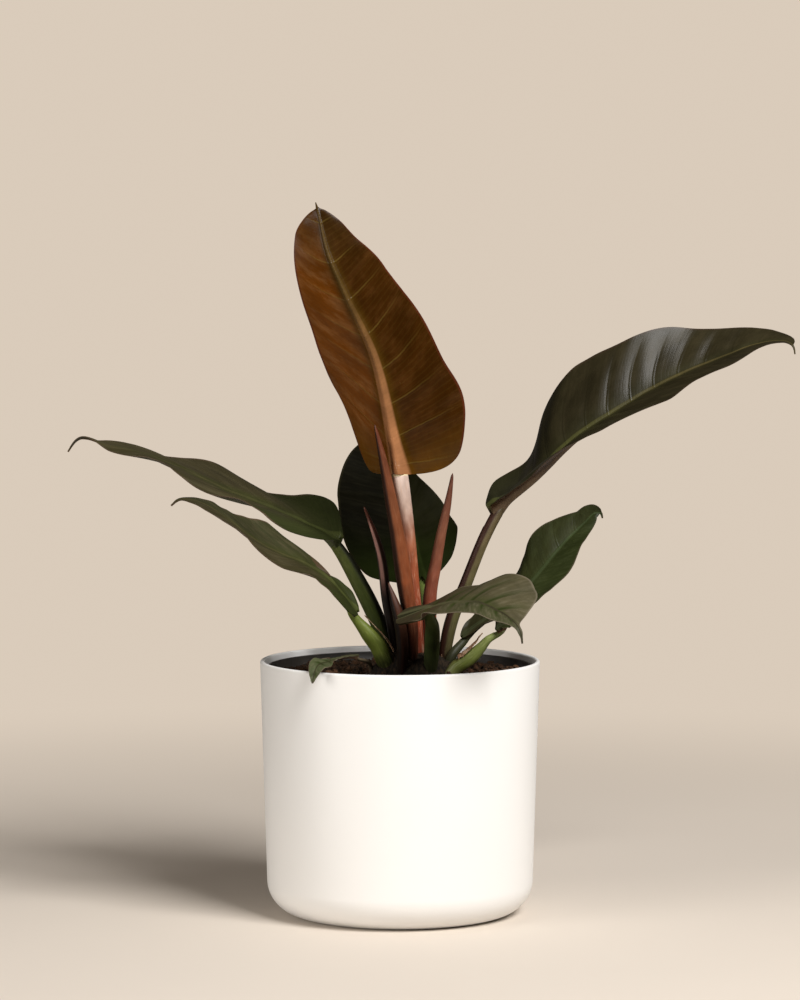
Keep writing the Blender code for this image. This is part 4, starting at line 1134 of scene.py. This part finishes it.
def makeSoil(finish):
    rings, steps = soil["rings"], soil["steps"]
    angles = 2 * math.pi * np.arange(steps) / steps
    points = [(0, 0, soil["base"])]
    for radius, height in ((soil["bottomRadius"], soil["base"]), (soil["topRadius"], soil["height"] - 3)):
        points += [(radius * math.cos(a), radius * math.sin(a), height) for a in angles]
    for i in range(rings):
        radius = soil["topRadius"] * (1 - (i + 0.2) / rings)
        for a in angles:
            x, y = radius * math.cos(a), radius * math.sin(a)
            points.append((x, y, soilHeight(x, y)))
    points.append((0, 0, soilHeight(0, 0)))
    faces = gridFaces(rings + 2, steps, 1, closed=True) + fanFaces(rings + 2, steps)
    makePiece("soil_bed", points, faces, finish, None, "soil")


def roundTemplate(subdivisions):
    shape = bmesh.new()
    bmesh.ops.create_icosphere(shape, subdivisions=subdivisions, radius=1.0)
    points = np.array([v.co[:] for v in shape.verts])
    faces = np.array([[v.index for v in f.verts] for f in shape.faces])
    shape.free()
    return points, faces


def turnedAtRandom(rng):
    axis = unit(rng.normal(size=3))
    return np.array(Matrix.Rotation(rng.uniform(0, 2 * math.pi), 3, Vector(axis)))


def scatterCrumbs(finish, name, count, subdivisions, low, high, seed):
    # irregular chunks that lie half sunk in the soil, clear of the stem
    rng = np.random.default_rng(seed)
    template, triangles = roundTemplate(subdivisions)
    points, faces = [], []
    centre, radii = np.array(crown["centre"]), np.array(crown["radii"]) * 0.8
    while len(points) < count:
        radius = (soil["topRadius"] - 3) * math.sqrt(rng.uniform(0.0, 1.0))
        angle = rng.uniform(0, 2 * math.pi)
        x, y = radius * math.cos(angle), radius * math.sin(angle)
        size = low + (high - low) * rng.uniform() ** 2.5
        if np.sum(((np.array([x, y]) - centre) / radii) ** 2) < 1:
            continue
        form = template * rng.uniform(0.65, 1.25, (len(template), 1))
        form = form * size * rng.uniform(0.45, 1.3, 3)
        form = form @ turnedAtRandom(rng).T
        z = soilHeight(x, y) + size * rng.uniform(0.0, 0.5)
        faces.append(triangles + len(points) * len(template))
        points.append(form + (x, y, z))
    piece = makePiece(name, np.concatenate(points), np.concatenate(faces).tolist(), finish, None)
    piece.data.shade_flat()


def crownFinish():
    material, tree, shader = newFinish("fibrous stem")
    where = objectPlace(tree)
    fibres = speckle(tree, where, 500.0, 4.0, 0.6, (1.0, 1.0, 0.2))
    patches = speckle(tree, where, 120.0, 3.0, 0.6)
    # the dark colour is partly painted shade
    colour = mixColours(tree, ease(tree, fibres, 0.4, 0.65), crown["dark"], crown["fibre"])
    colour = mixColours(tree, ease(tree, patches, 0.6, 0.75), colour, crown["moss"])
    feed(tree, shader.inputs["Base Color"], colour)
    shader.inputs["Roughness"].default_value = 0.85
    shader.inputs["Specular IOR Level"].default_value = 0.2
    dent(tree, shader, fibres, 0.0008, 0.8)
    return material


def makeCrown():
    # widens from its foot in the soil up to the waist, then closes in a knobbly cap
    rings, steps, lower = crown["rings"], crown["steps"], crown["lowerRings"]
    foot, waist, top = crown["foot"], crown["waist"], crown["top"]
    centre, radii = np.array(crown["centre"]), np.array(crown["radii"])
    angles = 2 * math.pi * np.arange(steps) / steps
    points = [(*centre, foot)]
    for i in range(rings):
        if i < lower:
            climb = math.sin(0.5 * math.pi * (i + 1) / lower)
            spread = crown["footShare"] + (1 - crown["footShare"]) * climb
            rise = foot + (waist - foot) * i / (lower - 1)
        else:
            spread = math.cos(0.5 * math.pi * (i - lower + 1) / (rings - lower + 1))
            rise = waist + (top - waist) * (1 - spread**4)
        for a in angles:
            x, y = centre + radii * spread * (math.cos(a), math.sin(a))
            knobbly = bumpiness(x, y, crown["knobs"]) if i >= lower else 0
            points.append((x, y, rise + knobbly))
    points.append((*centre, top + 0.5))
    faces = gridFaces(rings, steps, 1, closed=True) + fanFaces(rings, steps)
    makePiece("short_stem", points, faces, crownFinish(), None, "crown")


peat = soilFinish()
makeSoil(peat)
for loose in soil["loose"]:
    scatterCrumbs(peat, *loose)
makeCrown()
print("soil and crown made")


# Floor and studio light
studio = {
    "floorSize": 60.0, "floor": (0.70, 0.63, 0.555), "backdrop": (0.70, 0.60, 0.495), "ambient": 0.13,
    "fadeFrom": 0.3, "fadeTo": 1.2,      # the floor's far part takes the backdrop's even tone
    "cloud": 0.95, "cloudShow": 0.35,    # faint darker clouds on the floor
    "lamps": {
        "key": {"place": (1.28, -1.58, 2.05), "aim": (0, 0, 0.22), "size": (1.3, 1.3), "power": 106,
                "colour": (1.0, 0.98, 0.955)},
        "fill": {"place": (-2.2, -1.5, 0.7), "aim": (0, 0, 0.2), "size": (1.4, 1.4), "power": 34,
                 "colour": (1.0, 0.96, 0.91)},
    },
}


def backdropStrength(tree):
    # full strength where the camera sees it, and only a little light on the plant
    seen = addNode(tree, "LightPath").outputs["Is Camera Ray"]
    return reckon(tree, "MULTIPLY_ADD", seen, 1 - studio["ambient"], studio["ambient"])


def makeFloor():
    material, tree, shader = newFinish("plain pale floor")
    where = objectPlace(tree)
    cloud = speckle(tree, where, 3.0, 3.0, 0.5)
    darker = [c * studio["cloud"] for c in studio["floor"]]
    clouded = ease(tree, cloud, 0.3, 0.7, 0.0, studio["cloudShow"])
    feed(tree, shader.inputs["Base Color"], mixColours(tree, clouded, studio["floor"], darker))
    shader.inputs["Roughness"].default_value = 0.9
    shader.inputs["Specular IOR Level"].default_value = 0.2
    glow = addNode(tree, "Emission")
    glow.inputs["Color"].default_value = (*studio["backdrop"], 1.0)
    feed(tree, glow.inputs["Strength"], backdropStrength(tree))
    distance = addNode(tree, "VectorMath", operation="LENGTH")
    feed(tree, distance.inputs[0], where)
    fade = addNode(tree, "MixShader")
    feed(tree, fade.inputs[0], ease(tree, distance.outputs["Value"], studio["fadeFrom"], studio["fadeTo"]))
    tree.links.new(shader.outputs[0], fade.inputs[1])
    tree.links.new(glow.outputs[0], fade.inputs[2])
    tree.links.new(fade.outputs[0], tree.nodes["Material Output"].inputs["Surface"])
    half = studio["floorSize"] / 2
    mesh = bpy.data.meshes.new("floor")
    corners = [(-half, -half, 0), (half, -half, 0), (half, half, 0), (-half, half, 0)]
    mesh.from_pydata(corners, [], [(0, 1, 2, 3)])
    mesh.materials.append(material)
    floor = bpy.data.objects.new("floor", mesh)
    bpy.context.collection.objects.link(floor)


def makeLight(name, lamp):
    data = bpy.data.lights.new(name, "AREA")
    data.shape = "RECTANGLE"
    data.size, data.size_y = lamp["size"]
    data.energy = lamp["power"]
    data.color = lamp["colour"]
    light = bpy.data.objects.new(name, data)
    light.location = lamp["place"]
    aim = Vector(lamp["aim"]) - Vector(lamp["place"])
    light.rotation_euler = aim.to_track_quat("-Z", "Y").to_euler()
    bpy.context.collection.objects.link(light)


def makeWorld():
    world = bpy.data.worlds.new("studio")
    world.use_nodes = True
    bpy.context.scene.world = world
    tree = world.node_tree
    back = tree.nodes["Background"]
    back.inputs["Color"].default_value = (*studio["backdrop"], 1.0)
    feed(tree, back.inputs["Strength"], backdropStrength(tree))
    bpy.context.scene.view_settings.view_transform = "Standard"


makeFloor()
for name, lamp in studio["lamps"].items():
    makeLight(name + " light", lamp)
makeWorld()
print("floor and lights set")
